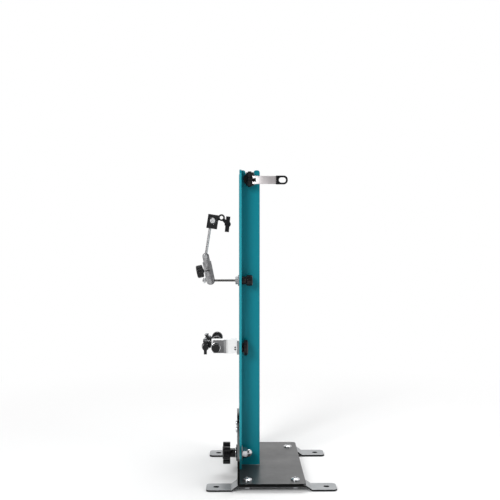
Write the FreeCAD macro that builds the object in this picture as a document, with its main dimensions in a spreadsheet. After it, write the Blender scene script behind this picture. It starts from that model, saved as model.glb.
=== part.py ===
import FreeCAD, Part
import os
import re
import Sketcher
from FreeCAD import Placement, Rotation, Vector

# A bench stand for truing bicycle wheels. Two steel angles stand on a folded base plate and hold the
# wheel's axle in open slots. The far angle is bolted down, the near one slides along the base plate's
# flange to suit the hub. The near angle also carries a rim gauge and a disc rotor gauge.
#
# Millimetres. X is to the right, Y runs away from the operator along the wheel's axle, Z is up.
# The origin is the middle of the four floor holes, at floor level.

SIZES = {
    # folded base plate with its flange and the far ear
    "base_width": 95,
    "near_overhang": 18,
    "far_overhang": 30.5,
    "base_gauge": 3,
    "base_corner": 6,
    "flange_rise": 36,
    "flange_corner": 8,
    "ear_rise": 56.5,
    "ear_length": 40,
    "ear_corner": 5,
    # foot strips across the base
    "strip_gauge": 3,
    "strip_width": 30,
    "strip_length": 182,
    "strip_tread": 35,
    "strip_ramp": 8.5,
    "strip_pitch": 175,
    "strip_corner": 6,
    "foot_rise": 6,
    "floor_hole_radius": 4.25,
    "floor_hole_inset": 14,
    # base bolts and nuts
    "base_bolt_inset": 14,
    "base_bolt_radius": 3,
    "base_bolt_head_radius": 6.5,
    "base_bolt_head_height": 3.4,
    "base_nut_across": 10,
    "base_nut_height": 4.8,
    "bolt_hole_gap": 0.2,
    "thread_gap": 0.05,
    # steel angles
    "angle_width": 30,
    "angle_depth": 28,
    "angle_gauge": 3,
    "angle_bend": 1.5,
    "near_foot_gap": 1,
    "far_foot_gap": 4,
    "leg_hole_setback": 15.5,
    "slide_gap": 0.2,
    "hub_spacing": 100,
    "hub_offset": 39.5,
    "upright_travel": 50,
    "axle_height": 435,
    "prong_rise": 13.5,
    "prong_round": 3.5,
    "dropout_radius": 5.1,
    "mouth_width": 14.6,
    "mouth_depth": 6,
    # bolts of the far angle
    "far_bolt_radius": 3,
    "far_bolt_height": 36,
    "far_bolt_pitch": 11,
    "far_bolt_head_radius": 5,
    "far_bolt_head_height": 2.4,
    "far_nut_across": 10,
    "far_nut_height": 5,
    # clamp that locks the near angle to the flange
    "clamp_height": 34,
    "clamp_stud_radius": 4,
    "clamp_slot_gap": 0.3,
    "disc_washer_radius": 11.75,
    "disc_washer_gauge": 1.6,
    "knob_washer_radius": 7,
    "knob_washer_gauge": 1,
    "star_neck_radius": 6.5,
    "star_neck_length": 7.7,
    "star_head_length": 10.7,
    "star_core_radius": 12,
    "star_lobe_radius": 4.6,
    "star_lobe_circle": 11.65,
    "star_lobes": 7,
    "star_edge": 1.4,
    "turn_gap": 0.1,
    "knob_edge": 1,
    "bore_floor": 1,
    "drill_spare": 1,
    "acorn_washer_radius": 10.8,
    "acorn_washer_gauge": 1.6,
    "acorn_across": 14,
    "acorn_hex_length": 7,
    "acorn_length": 14,
    # quick release skewer in the axle slots
    "skewer_radius": 2.5,
    "cap_radius": 9,
    "cap_length": 5,
    "cap_saddle_depth": 2,
    "saddle_spare": 0.8,
    "cam_radius": 6,
    "cam_throw": 1,
    "cam_length": 19.5,
    "eye_radius": 4.2,
    "eye_thickness": 5.4,
    "eye_spare": 0.4,
    "lever_window": 9.2,
    "lever_window_height": 5.2,
    "cross_pin_radius": 1.6,
    "cross_pin_length": 22.5,
    "cross_pin_head": 2.6,
    "lever_reach": 41.3,
    "lever_height": 11.6,
    "lever_drop": 1.3,
    "lever_thickness": 3.6,
    "lever_bow": 4,
    "loop_length": 17,
    "loop_height": 12.8,
    "loop_thickness": 6,
    "loop_wall": 2.6,
    "loop_overlap": 3,
    "loop_land": 1,
    "skewer_nut_radius": 8,
    "skewer_nut_length": 13,
    "skewer_spare_end": 1.5,
    # rim gauge carriage
    "rim_gauge_height": 189,
    "rim_travel_down": 84,
    "rim_travel_up": 56,
    "rim_stud_radius": 3,
    "rim_slot_gap": 0.2,
    "rim_plate_gauge": 3.4,
    "rim_plate_height": 17.6,
    "rim_plate_depth": 20,
    "rim_bar_height": 20,
    "rim_bar_rise": 2.8,
    "rim_bar_depth": 14,
    "rim_bar_length": 19,
    "rod_clamp_length": 18,
    "rod_clamp_height": 19,
    "rod_clamp_depth": 16,
    "rod_clamp_slit": 1.6,
    "rim_plate_screw_radius": 1.1,
    "rim_plate_screw_pitch": 3,
    "rim_plate_screw_inset": 2.6,
    "rim_plate_screw_head": 1.2,
    "rim_knob_radius": 11.5,
    "rim_knob_length": 9.5,
    "rim_knob_neck_radius": 7,
    "rim_stud_bite": 12,
    # rod across the rim and its two feelers
    "rod_radius": 4,
    "rod_inset": 6.4,
    "rod_far_reach": 48,
    "rod_ring_radius": 7,
    "rod_ring_gauge": 2,
    "rod_knob_radius": 6,
    "rod_knob_length": 9,
    "rod_knob_floor": 2,
    "rod_travel": 8,
    "rim_half_width": 13,
    "feeler_touch_gap": 0.5,
    "arm_clearance": 9,
    "arm_thickness": 8,
    "arm_ring_radius": 8.5,
    "arm_boss_radius": 6,
    "feeler_offset": 16.4,
    "feeler_drop": 6,
    "arm_lobe_width": 13,
    "arm_lobe_height": 10.2,
    "arm_step": 3.5,
    "arm_screw_head_radius": 2.2,
    "arm_screw_head": 1.8,
    "feeler_radius": 2.5,
    "feeler_tip_radius": 1.6,
    "feeler_tip_length": 3,
    "feeler_stub": 6,
    "wing_hub_radius": 5.6,
    "wing_length": 9,
    "wing_span": 20,
    "wing_gauge": 4.4,
    # rotor gauge
    "rotor_gauge_height": 287.5,
    "rotor_travel": 15,
    "post_radius": 1.9,
    "post_slot_gap": 0.2,
    "post_reach": 53.5,
    "serrated_radius": 7.75,
    "serrated_flange": 2,
    "serrated_across": 10,
    "serrated_length": 5.7,
    "post_knob_neck_radius": 6,
    "post_knob_neck_length": 8,
    "post_knob_radius": 7.75,
    "post_knob_length": 8,
    "swivel_offset": 41.9,
    "swivel_length": 36.2,
    "swivel_tilt": 11.5,
    "swivel_width": 12.4,
    "swivel_neck": 9.4,
    "swivel_thickness": 8,
    "swivel_facet": 5,
    "swivel_facet_depth": 3,
    "swivel_notch_rise": 14.5,
    "swivel_notch_length": 7,
    "swivel_notch_width": 1.2,
    "swivel_notch_depth": 1.2,
    "fork_gap": 4,
    "fork_depth": 8,
    "post_bore_run": 30,
    "end_nut_across": 7,
    "end_nut_length": 3.2,
    "swivel_knob_rise": 16,
    "swivel_knob_radius": 9,
    "swivel_knob_length": 9.6,
    "swivel_knob_standoff": 1.5,
    "swivel_screw_radius": 2,
    "stem_radius": 2,
    "stem_length": 47,
    "stem_tilt": 8.8,
    "stem_eye_radius": 4.2,
    "stem_eye_gauge": 3.6,
    "stem_root": 2,
    "stem_flat": 4,
    "elbow_pin_radius": 1.6,
    "elbow_head_radius": 2.8,
    "elbow_head": 1.6,
    "head_width": 15.5,
    "head_height": 20.5,
    "head_depth": 12,
    "head_bite": 6,
    "head_bolt_rise": 11.5,
    "head_shift": 2.5,
    "stem_end_gap": 0.2,
    "head_bolt_radius": 2,
    "head_bolt_head_radius": 3.8,
    "head_bolt_head": 3,
    "head_sink_radius": 5.2,
    "head_sink": 1.2,
    "finger_gauge": 3,
    "finger_reach": 21.5,
    "finger_drop": 5,
    "finger_eye_out": 12.5,
    "finger_eye_up": 4.6,
    "finger_hub_radius": 5.5,
    "finger_eye_radius": 5,
    "finger_eye_hole": 2.5,
    "finger_boss_radius": 4.6,
    "finger_boss_length": 5,
    "finger_web": 5,
    "touch_screw_radius": 1.5,
    "rotor_inset": 11,
    "touch_wing_span": 22.6,
    "touch_wing_width": 8,
    "touch_wing_length": 8,
    "touch_wing_gauge": 6,
    "touch_wing_lean": 5.6,
    "touch_stub": 5,
    "touch_point": 2,
}

# Places worked out from the sizes, as expressions that the document evaluates.
PLATE_UNDER = "(foot_rise + strip_gauge)"
PLATE_TOP = "(foot_rise + strip_gauge + base_gauge)"
FLANGE_OUT = "(-base_width / 2)"
FLANGE_IN = "(base_gauge - base_width / 2)"
STRIP_Y = "(strip_pitch / 2)"
PLATE_NEAR = f"(-{STRIP_Y} - near_overhang)"
PLATE_FAR = f"({STRIP_Y} + far_overhang)"
BOLT_X = "(base_width / 2 - base_bolt_inset)"
FLOOR_HOLE_X = "(strip_length / 2 - floor_hole_inset)"

UPRIGHT_TOP = "(axle_height + prong_rise)"
LEG_OUT = f"({FLANGE_IN} + slide_gap)"
LEG_IN = f"({LEG_OUT} + angle_gauge)"
WEB_RIGHT = f"({LEG_OUT} + angle_width)"
HUB_X = f"({LEG_OUT} + angle_width / 2)"
NEAR_FACE = "(hub_offset - hub_spacing / 2)"
NEAR_OUT = f"({NEAR_FACE} - angle_gauge)"
NEAR_LEG = f"({NEAR_FACE} - leg_hole_setback)"
FAR_FACE = "(hub_offset + hub_spacing / 2)"
FAR_OUT = f"({FAR_FACE} + angle_gauge)"
FAR_LEG = f"({FAR_FACE} + leg_hole_setback)"

TURNS = {
    "Z": Rotation(),
    "X": Rotation(Vector(0, 1, 0), 90),
    "-X": Rotation(Vector(0, 1, 0), -90),
    "Y": Rotation(Vector(1, 0, 0), -90),
    "-Y": Rotation(Vector(1, 0, 0), 90),
}

doc = FreeCAD.newDocument("truing_stand")
sheet = doc.addObject("Spreadsheet::Sheet", "Sizes")
for row, (size_name, size_value) in enumerate(SIZES.items(), start=1):
    sheet.set(f"A{row}", size_name)
    sheet.set(f"B{row}", str(size_value))
    sheet.setAlias(f"B{row}", size_name)
doc.recompute()

reader = doc.addObject("App::FeaturePython", "Reader")
reader.addProperty("App::PropertyFloat", "value")


# ---------------------------------------------------------------- tools of the document

def cells(expression):
    """Names the sheet before each of its sizes in an expression."""
    def name_sheet(word):
        return "Sizes." + word.group() if word.group() in SIZES else word.group()
    return re.sub(r"[a-z_]+[a-z0-9_]*", name_sheet, expression)


def number(expression):
    """The present value of an expression."""
    reader.setExpression("value", cells(expression))
    reader.recompute()
    return reader.value


def bind(thing, **sizes):
    """Ties properties of an object to expressions."""
    for path, expression in sizes.items():
        thing.setExpression(path, cells(expression))


def place(thing, x, y, z, axis="Z"):
    """Puts an object's own origin at a place, with its own Z along an axis."""
    thing.Placement = Placement(Vector(), TURNS[axis])
    for letter, expression in zip("xyz", (x, y, z)):
        thing.setExpression(f"Placement.Base.{letter}", cells(expression))
    return thing


def lean(thing, angle):
    """Turns an upright object about Y by a bound angle, its top towards +X."""
    thing.Placement = Placement(thing.Placement.Base, Rotation(Vector(0, 1, 0), number(angle)))
    thing.setExpression("Placement.Rotation.Angle", cells(angle))
    return thing


def new_body(name):
    body = doc.addObject("PartDesign::Body", name)
    body.Label = name
    return body


def sketch(body, plane, offset="0"):
    """A sketch on one of the body's own planes, moved along that plane's normal."""
    drawing = body.newObject("Sketcher::SketchObject", f"{body.Label}_sketch")
    origin_plane = next(item for item in body.Origin.OriginFeatures if item.Role == f"{plane}_Plane")
    drawing.AttachmentSupport = [(origin_plane, "")]
    drawing.MapMode = "FlatFace"
    drawing.setExpression("AttachmentOffset.Base.z", cells(offset))
    return drawing


def locate(drawing, geometry, point, x, y):
    """Dimensions one point of a sketch from the sketch's origin."""
    for kind, expression in (("DistanceX", x), ("DistanceY", y)):
        index = drawing.addConstraint(Sketcher.Constraint(kind, -1, 1, geometry, point, number(expression)))
        drawing.setExpression(f"Constraints[{index}]", cells(expression))


def outline(drawing, corners):
    """A closed outline of straight lines through dimensioned corners."""
    first = drawing.GeometryCount
    points = [Vector(number(x), number(y), 0) for x, y in corners]
    for start, end in zip(points, points[1:] + points[:1]):
        drawing.addGeometry(Part.LineSegment(start, end), False)
    for index, (x, y) in enumerate(corners):
        before = first + (index - 1) % len(corners)
        drawing.addConstraint(Sketcher.Constraint("Coincident", before, 2, first + index, 1))
        locate(drawing, first + index, 1, x, y)


def circle(drawing, x, y, radius):
    """A dimensioned circle."""
    centre = Vector(number(x), number(y), 0)
    index = drawing.addGeometry(Part.Circle(centre, Vector(0, 0, 1), number(radius)), False)
    locate(drawing, index, 3, x, y)
    size = drawing.addConstraint(Sketcher.Constraint("Radius", index, number(radius)))
    drawing.setExpression(f"Constraints[{size}]", cells(radius))


def slot(drawing, start, end, radius):
    """A round-ended slot between two centres on a line along the sketch's x or y."""
    first = drawing.GeometryCount
    one = Vector(number(start[0]), number(start[1]), 0)
    two = Vector(number(end[0]), number(end[1]), 0)
    along = (two - one).normalize()
    side = Vector(-along.y, along.x, 0) * number(radius)
    cap = along * number(radius)
    drawing.addGeometry(Part.Arc(one + side, one - cap, one - side), False)
    drawing.addGeometry(Part.LineSegment(one - side, two - side), False)
    drawing.addGeometry(Part.Arc(two - side, two + cap, two + side), False)
    drawing.addGeometry(Part.LineSegment(two + side, one + side), False)
    for index in range(4):
        drawing.addConstraint(Sketcher.Constraint("Tangent", first + index, 2, first + (index + 1) % 4, 1))
    drawing.addConstraint(Sketcher.Constraint("Equal", first, first + 2))
    locate(drawing, first, 3, *start)
    locate(drawing, first + 2, 3, *end)
    size = drawing.addConstraint(Sketcher.Constraint("Radius", first, number(radius)))
    drawing.setExpression(f"Constraints[{size}]", cells(radius))


def pad(body, drawing, length):
    """Adds material from the sketch along its normal."""
    feature = body.newObject("PartDesign::Pad", f"{body.Label}_pad")
    feature.Profile = drawing
    bind(feature, Length=length)
    doc.recompute()
    return feature


def pocket(body, drawing, length):
    """Cuts the sketch through the body, half of the length to each side."""
    before = body.Shape.Volume
    feature = body.newObject("PartDesign::Pocket", f"{body.Label}_pocket")
    feature.Profile = drawing
    feature.SideType = "Symmetric"
    bind(feature, Length=length)
    doc.recompute()
    if body.Shape.Volume >= before:
        raise ValueError(f"{feature.Name} cuts nothing")
    return feature


def fillet(body, edges, radius):
    """Rounds the named edges of the body as it stands."""
    base = body.Tip
    feature = body.newObject("PartDesign::Fillet", f"{body.Label}_fillet")
    feature.Base = (base, edges)
    bind(feature, Radius=radius)
    body.Tip = feature
    doc.recompute()
    return feature


def edges_through(body, **places):
    """Names of the straight edges whose two ends both lie at the given x, y or z."""
    wanted = {letter: number(expression) for letter, expression in places.items()}
    names = []
    for index, edge in enumerate(body.Tip.Shape.Edges, start=1):
        ends = [vertex.Point for vertex in edge.Vertexes]
        if len(ends) < 2 or edge.Curve.TypeId != "Part::GeomLine":
            continue
        if all(abs(getattr(end, letter) - value) < 0.01 for end in ends for letter, value in wanted.items()):
            names.append(f"Edge{index}")
    return names


def rims(body, radius, height):
    """Names of the circular edges of a turned body at a radius and a height on its own axis."""
    names = []
    for index, edge in enumerate(body.Tip.Shape.Edges, start=1):
        if edge.Curve.TypeId != "Part::GeomCircle":
            continue
        middle = edge.Curve.Center
        if abs(edge.Curve.Radius - number(radius)) < 0.01 and abs(middle.z - number(height)) < 0.01:
            names.append(f"Edge{index}")
    return names


def turned(name, profile, x, y, z, axis="Z"):
    """A lathe-turned body from (radius, length along the axis) corners."""
    body = new_body(name)
    drawing = sketch(body, "XZ")
    outline(drawing, profile)
    feature = body.newObject("PartDesign::Revolution", f"{name}_turning")
    feature.Profile = drawing
    feature.ReferenceAxis = (drawing, ["V_Axis"])
    feature.Angle = 360
    place(body, x, y, z, axis)
    doc.recompute()
    return body


def washer(name, bore, rim, gauge, x, y, z, axis):
    """A flat ring."""
    return turned(name, [(bore, "0"), (rim, "0"), (rim, gauge), (bore, gauge)], x, y, z, axis)


def box(name, low, high):
    """A block between two corners."""
    solid = doc.addObject("Part::Box", name)
    sides = zip(("Length", "Width", "Height"), low, high)
    spans = {side: f"({end}) - ({start})" for side, start, end in sides}
    bind(solid, **spans)
    return place(solid, *low)


def rod(name, radius, x, y, z, length, axis="Z"):
    """A plain round bar or drill."""
    solid = doc.addObject("Part::Cylinder", name)
    bind(solid, Radius=radius, Height=length)
    return place(solid, x, y, z, axis)


def prism(name, across, x, y, z, length, axis="Z"):
    """A hexagonal bar."""
    solid = doc.addObject("Part::Prism", name)
    solid.Polygon = 6
    bind(solid, Circumradius=f"{across} / sqrt(3)", Height=length)
    return place(solid, x, y, z, axis)


def fuse(name, *solids):
    solid = doc.addObject("Part::MultiFuse", name)
    solid.Shapes = list(solids)
    solid.Refine = True
    return solid


def cut(name, solid, *tools):
    feature = doc.addObject("Part::Cut", name)
    feature.Base = solid
    feature.Tool = tools[0] if len(tools) == 1 else fuse(f"{name}_tools", *tools)
    return feature


def group(name, solids):
    """Like pieces that share one node."""
    compound = doc.addObject("Part::Compound", name)
    compound.Links = list(solids)
    return compound


def hex_nut(name, across, length, bore, x, y, z, axis="Z"):
    """A nut whose corners are turned off at both ends."""
    bar = prism(f"{name}_bar", across, x, y, z, length, axis)
    corner = f"({across} / sqrt(3))"
    flat = f"({across} / 2)"
    fall = f"(({corner} - {flat}) / 2)"
    profile = [("0", "0"), (flat, "0"), (corner, fall), (corner, f"{length} - {fall}"), (flat, length),
               ("0", length)]
    envelope = turned(f"{name}_turning", profile, x, y, z, axis)
    blank = doc.addObject("Part::Common", f"{name}_blank")
    blank.Base = bar
    blank.Tool = envelope
    drill = rod(f"{name}_drill", bore, x, y, z, length, axis)
    return cut(name, blank, drill)


# ---------------------------------------------------------------- base

def base_plate():
    """Sheet steel plate, folded up along its left side into a flange with a taller ear at the far end."""
    body = new_body("base_plate")
    plan = sketch(body, "XY", PLATE_UNDER)
    left, right, near, far = FLANGE_OUT, "base_width / 2", PLATE_NEAR, PLATE_FAR
    outline(plan, [(left, near), (right, near), (right, far), (left, far)])
    pad(body, plan, "base_gauge")
    side = sketch(body, "YZ", FLANGE_OUT)
    low, ear_start = f"{PLATE_TOP} + flange_rise", f"{far} - ear_length"
    high = f"{PLATE_TOP} + ear_rise"
    outline(side, [(near, PLATE_UNDER), (far, PLATE_UNDER), (far, high),
                   (ear_start, high), (ear_start, low), (near, low)])
    pad(body, side, "base_gauge")
    cut_flange_slot(body)
    cut_base_holes(body)
    for y in (near, far):
        fillet(body, edges_through(body, x=right, y=y), "base_corner")
    fillet(body, edges_through(body, y=near, z=low), "flange_corner")
    fillet(body, edges_through(body, y=far, z=high) + edges_through(body, y=ear_start, z=high), "ear_corner")
    fillet(body, edges_through(body, y=ear_start, z=low), "flange_corner")
    fillet(body, edges_through(body, x=FLANGE_OUT, z=PLATE_UNDER), "base_gauge * 0.9")
    return body


def cut_flange_slot(body):
    """Slot along the flange in which the near angle's clamp stud travels."""
    side = sketch(body, "YZ", f"{FLANGE_OUT} + base_gauge / 2")
    slot(side, (f"{NEAR_LEG} - upright_travel", "clamp_height"), (NEAR_LEG, "clamp_height"),
         "clamp_stud_radius + clamp_slot_gap")
    pocket(body, side, "base_gauge * 2")
    holes = sketch(body, "YZ", f"{FLANGE_OUT} + base_gauge / 2")
    for z in ("far_bolt_height", "far_bolt_height + far_bolt_pitch"):
        circle(holes, FAR_LEG, z, "far_bolt_radius + bolt_hole_gap")
    pocket(body, holes, "base_gauge * 2")


def cut_base_holes(body):
    """Four holes for the bolts that hold the foot strips."""
    plan = sketch(body, "XY", f"{PLATE_UNDER} + base_gauge / 2")
    for x in (f"-{BOLT_X}", BOLT_X):
        for y in (f"-{STRIP_Y}", STRIP_Y):
            circle(plan, x, y, "base_bolt_radius + bolt_hole_gap")
    pocket(body, plan, "base_gauge * 2")


def foot_strip(name, y):
    """Flat steel strip, cranked up in the middle to clear the nuts under the base plate."""
    body = new_body(name)
    profile = sketch(body, "XZ", f"-({y}) - strip_width / 2")
    end, heel = "strip_length / 2", "(strip_length / 2 - strip_tread)"
    knee, top = f"({heel} - strip_ramp)", "(foot_rise + strip_gauge)"
    outline(profile, [(f"-{end}", "0"), (f"-{heel}", "0"), (f"-{knee}", "foot_rise"), (knee, "foot_rise"),
                      (heel, "0"), (end, "0"), (end, "strip_gauge"), (heel, "strip_gauge"), (knee, top),
                      (f"-{knee}", top), (f"-{heel}", "strip_gauge"), (f"-{end}", "strip_gauge")])
    pad(body, profile, "strip_width")
    for x in (f"-{end}", end):
        for side in ("-", "+"):
            corner = edges_through(body, x=x, y=f"{y} {side} strip_width / 2")
            fillet(body, corner, "strip_corner")
    floor_holes = sketch(body, "XY", "strip_gauge / 2")
    for x in (f"-{FLOOR_HOLE_X}", FLOOR_HOLE_X):
        circle(floor_holes, x, y, "floor_hole_radius")
    pocket(body, floor_holes, "strip_gauge * 2")
    bolt_holes = sketch(body, "XY", "foot_rise + strip_gauge / 2")
    for x in (f"-{BOLT_X}", BOLT_X):
        circle(bolt_holes, x, y, "base_bolt_radius + bolt_hole_gap")
    pocket(body, bolt_holes, "strip_gauge * 2")
    return body


def base_bolt(name, x, y):
    """Domed bolt through the plate and a strip, with its end level with the nut."""
    reach = "(base_gauge + strip_gauge + base_nut_height)"
    head = "base_bolt_head_radius"
    body = turned(name, [("0", f"-{reach}"), ("base_bolt_radius", f"-{reach}"), ("base_bolt_radius", "0"),
                         (head, "0"), (head, "base_bolt_head_height"), ("0", "base_bolt_head_height")],
                  x, y, PLATE_TOP)
    fillet(body, rims(body, head, "base_bolt_head_height"), "base_bolt_head_height * 0.8")
    return body


def base_fasteners():
    bolts = []
    nuts = []
    for index, (x, y) in enumerate(((f"-{BOLT_X}", f"-{STRIP_Y}"), (BOLT_X, f"-{STRIP_Y}"),
                                    (f"-{BOLT_X}", STRIP_Y), (BOLT_X, STRIP_Y))):
        bolts.append(base_bolt(f"base_bolt_{index}", x, y))
        nuts.append(hex_nut(f"base_nut_{index}", "base_nut_across", "base_nut_height",
                            "base_bolt_radius + thread_gap", x, y, "foot_rise - base_nut_height"))
    return [group("base_bolts", bolts), group("base_nuts", nuts)]


# ---------------------------------------------------------------- uprights

FLARE = "(mouth_width / 2 - dropout_radius)"
MOUTH_TOP = f"(dropout_radius + {FLARE} * mouth_depth / (mouth_depth + drill_spare))"


def angle_blank(name, face, outward, foot):
    """Folded steel angle: its web faces the hub, its leg points away from the hub on the left."""
    body = new_body(name)
    plan = sketch(body, "XY", foot)
    back = f"({face} {outward} angle_gauge)"
    toe = f"({face} {outward} angle_depth)"
    outline(plan, [(LEG_OUT, face), (WEB_RIGHT, face), (WEB_RIGHT, back), (LEG_IN, back),
                   (LEG_IN, toe), (LEG_OUT, toe)])
    pad(body, plan, f"{UPRIGHT_TOP} - ({foot})")
    fillet(body, edges_through(body, x=LEG_IN, y=back), "angle_bend")
    fillet(body, edges_through(body, x=LEG_OUT, y=face), "angle_bend + angle_gauge")
    cut_axle_slot(body, f"({face} {outward} angle_gauge / 2)")
    top_corners = edges_through(body, x=WEB_RIGHT, z=UPRIGHT_TOP)
    for side in ("-", "+"):
        top_corners += edges_through(body, x=f"{HUB_X} {side} {MOUTH_TOP}", z=UPRIGHT_TOP)
    fillet(body, top_corners, "prong_round")
    toe_top = edges_through(body, y=toe, z=UPRIGHT_TOP)
    fillet(body, toe_top, "angle_depth / 4")
    return body


def cut_axle_slot(body, middle):
    """Open slot for the axle, with a flared mouth between two prongs."""
    web = sketch(body, "XZ", f"-{middle}")
    slot(web, (HUB_X, "axle_height"), (HUB_X, f"{UPRIGHT_TOP} + dropout_radius"), "dropout_radius")
    pocket(body, web, "angle_gauge * 2")
    mouth = sketch(body, "XZ", f"-{middle}")
    low, over = f"{UPRIGHT_TOP} - mouth_depth", f"{UPRIGHT_TOP} + drill_spare"
    outline(mouth, [(f"{HUB_X} - dropout_radius", low), (f"{HUB_X} + dropout_radius", low),
                    (f"{HUB_X} + mouth_width / 2", over), (f"{HUB_X} - mouth_width / 2", over)])
    pocket(body, mouth, "angle_gauge * 2")


def near_upright():
    body = angle_blank("near_upright", NEAR_FACE, "-", f"{PLATE_TOP} + near_foot_gap")
    middle = f"({LEG_OUT} + angle_gauge / 2)"
    hole = sketch(body, "YZ", middle)
    circle(hole, NEAR_LEG, "clamp_height", "clamp_stud_radius + bolt_hole_gap")
    pocket(body, hole, "angle_gauge * 2")
    rim_slot = sketch(body, "YZ", middle)
    slot(rim_slot, (NEAR_LEG, "rim_gauge_height - rim_travel_down"),
         (NEAR_LEG, "rim_gauge_height + rim_travel_up"), "rim_stud_radius + rim_slot_gap")
    pocket(body, rim_slot, "angle_gauge * 2")
    post_slot = sketch(body, "YZ", middle)
    slot(post_slot, (NEAR_LEG, "rotor_gauge_height - rotor_travel"),
         (NEAR_LEG, "rotor_gauge_height + rotor_travel"), "post_radius + post_slot_gap")
    pocket(body, post_slot, "angle_gauge * 2")
    return body


def far_upright():
    body = angle_blank("far_upright", FAR_FACE, "+", f"{PLATE_TOP} + far_foot_gap")
    holes = sketch(body, "YZ", f"({LEG_OUT} + angle_gauge / 2)")
    for z in ("far_bolt_height", "far_bolt_height + far_bolt_pitch"):
        circle(holes, FAR_LEG, z, "far_bolt_radius + bolt_hole_gap")
    pocket(body, holes, "angle_gauge * 2")
    return body


def far_fasteners():
    """Two bolts through the ear and the far angle's leg, with nuts inside the angle."""
    bolts = []
    nuts = []
    reach = f"({LEG_IN} - {FLANGE_OUT} + far_nut_height)"
    head, rise = "far_bolt_head_radius", "far_bolt_head_height"
    for index, z in enumerate(("far_bolt_height", "far_bolt_height + far_bolt_pitch")):
        bolt = turned(f"far_bolt_{index}",
                      [("0", f"-{rise}"), (head, f"-{rise}"), (head, "0"), ("far_bolt_radius", "0"),
                       ("far_bolt_radius", reach), ("0", reach)], FLANGE_OUT, FAR_LEG, z, "X")
        fillet(bolt, rims(bolt, head, f"-{rise}"), f"{rise} * 0.7")
        bolts.append(bolt)
        nuts.append(hex_nut(f"far_nut_{index}", "far_nut_across", "far_nut_height",
                            "far_bolt_radius + thread_gap", LEG_IN, FAR_LEG, z, "X"))
    return [group("far_upright_bolts", bolts), group("far_upright_nuts", nuts)]


# ---------------------------------------------------------------- clamp of the near upright

DISC_FACE = f"({FLANGE_OUT} - disc_washer_gauge)"
KNOB_FACE = f"({DISC_FACE} - knob_washer_gauge)"
ACORN_FACE = f"({LEG_IN} + acorn_washer_gauge)"


def upright_clamp():
    """Stud through flange and leg, washers, and the domed nut inside the angle."""
    bore = "clamp_stud_radius + thread_gap"
    stud_start = f"({KNOB_FACE} - star_neck_length - star_head_length * 0.6)"
    stud_end = f"({ACORN_FACE} + acorn_hex_length)"
    stud = rod("clamp_stud", "clamp_stud_radius", stud_start, NEAR_LEG, "clamp_height",
               f"{stud_end} - {stud_start}", "X")
    disc = washer("clamp_disc_washer", bore, "disc_washer_radius", "disc_washer_gauge",
                  DISC_FACE, NEAR_LEG, "clamp_height", "X")
    ring = washer("clamp_knob_washer", bore, "knob_washer_radius", "knob_washer_gauge",
                  KNOB_FACE, NEAR_LEG, "clamp_height", "X")
    flange = washer("clamp_nut_washer", bore, "acorn_washer_radius", "acorn_washer_gauge",
                    LEG_IN, NEAR_LEG, "clamp_height", "X")
    return [stud, disc, ring, flange, acorn_nut(bore)]


def acorn_nut(bore):
    """Hexagon nut with a closed dome."""
    hexagon = hex_nut("acorn_hexagon", "acorn_across", "acorn_hex_length", bore,
                      ACORN_FACE, NEAR_LEG, "clamp_height", "X")
    crown, neck = "acorn_length - acorn_hex_length", "acorn_across * 0.45"
    dome = turned("acorn_dome", [("0", "0"), (neck, "0"), (neck, crown), ("0", crown)],
                  f"{ACORN_FACE} + acorn_hex_length", NEAR_LEG, "clamp_height", "X")
    fillet(dome, rims(dome, neck, crown), f"{neck} * 0.95")
    return fuse("clamp_acorn_nut", hexagon, dome)


def star_knob():
    """Moulded knob with a round neck and a lobed head, bored for the stud."""
    neck, total = "star_neck_length", "(star_neck_length + star_head_length)"
    bore, depth = "(clamp_stud_radius + turn_gap)", "(star_neck_length + star_head_length * 0.7)"
    body = turned("star_knob", [(bore, "0"), ("star_neck_radius", "0"), ("star_neck_radius", neck),
                                ("star_core_radius", neck), ("star_core_radius", total), ("0", total),
                                ("0", depth), (bore, depth)],
                  KNOB_FACE, NEAR_LEG, "clamp_height", "-X")
    lobe = sketch(body, "XY", neck)
    circle(lobe, "star_lobe_circle", "0", "star_lobe_radius")
    lobe_pad = pad(body, lobe, "star_head_length")
    pattern = body.newObject("PartDesign::PolarPattern", "star_knob_lobes")
    pattern.Originals = [lobe_pad]
    pattern.Axis = (next(item for item in body.Origin.OriginFeatures if item.Role == "Z_Axis"), [""])
    pattern.Angle = 360
    bind(pattern, Occurrences="star_lobes")
    body.Tip = pattern
    doc.recompute()
    rim_edges = [f"Edge{index}" for index, edge in enumerate(body.Tip.Shape.Edges, start=1)
                 if all(abs(vertex.Z - number(total)) < 0.01 for vertex in edge.Vertexes)
                 and edge.Curve.TypeId == "Part::GeomCircle"]
    fillet(body, rim_edges, "star_edge")
    return body


# ---------------------------------------------------------------- quick release skewer

CAP_OUT = f"({NEAR_OUT} - cap_length)"
SADDLE_Y = f"({CAP_OUT} + cap_saddle_depth)"
LOBE = "(cam_throw * cos(45))"
PIN_Y = f"({SADDLE_Y} - turn_gap - cam_radius - {LOBE})"
LEVER_Z = "(axle_height - lever_drop)"


def skewer_cap():
    """Round cap against the near angle, hollowed to a saddle for the cam."""
    blank = washer("skewer_cap_blank", "skewer_radius + turn_gap", "cap_radius", f"({NEAR_OUT} - {CAP_OUT})",
                   HUB_X, CAP_OUT, "axle_height", "Y")
    saddle_radius = "(cam_radius + saddle_spare)"
    saddle = rod("skewer_cap_saddle", saddle_radius, f"{HUB_X} + {LOBE}", f"{SADDLE_Y} - {saddle_radius}",
                 "axle_height - cap_radius", "cap_radius * 2")
    return cut("skewer_cap", blank, saddle)


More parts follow.
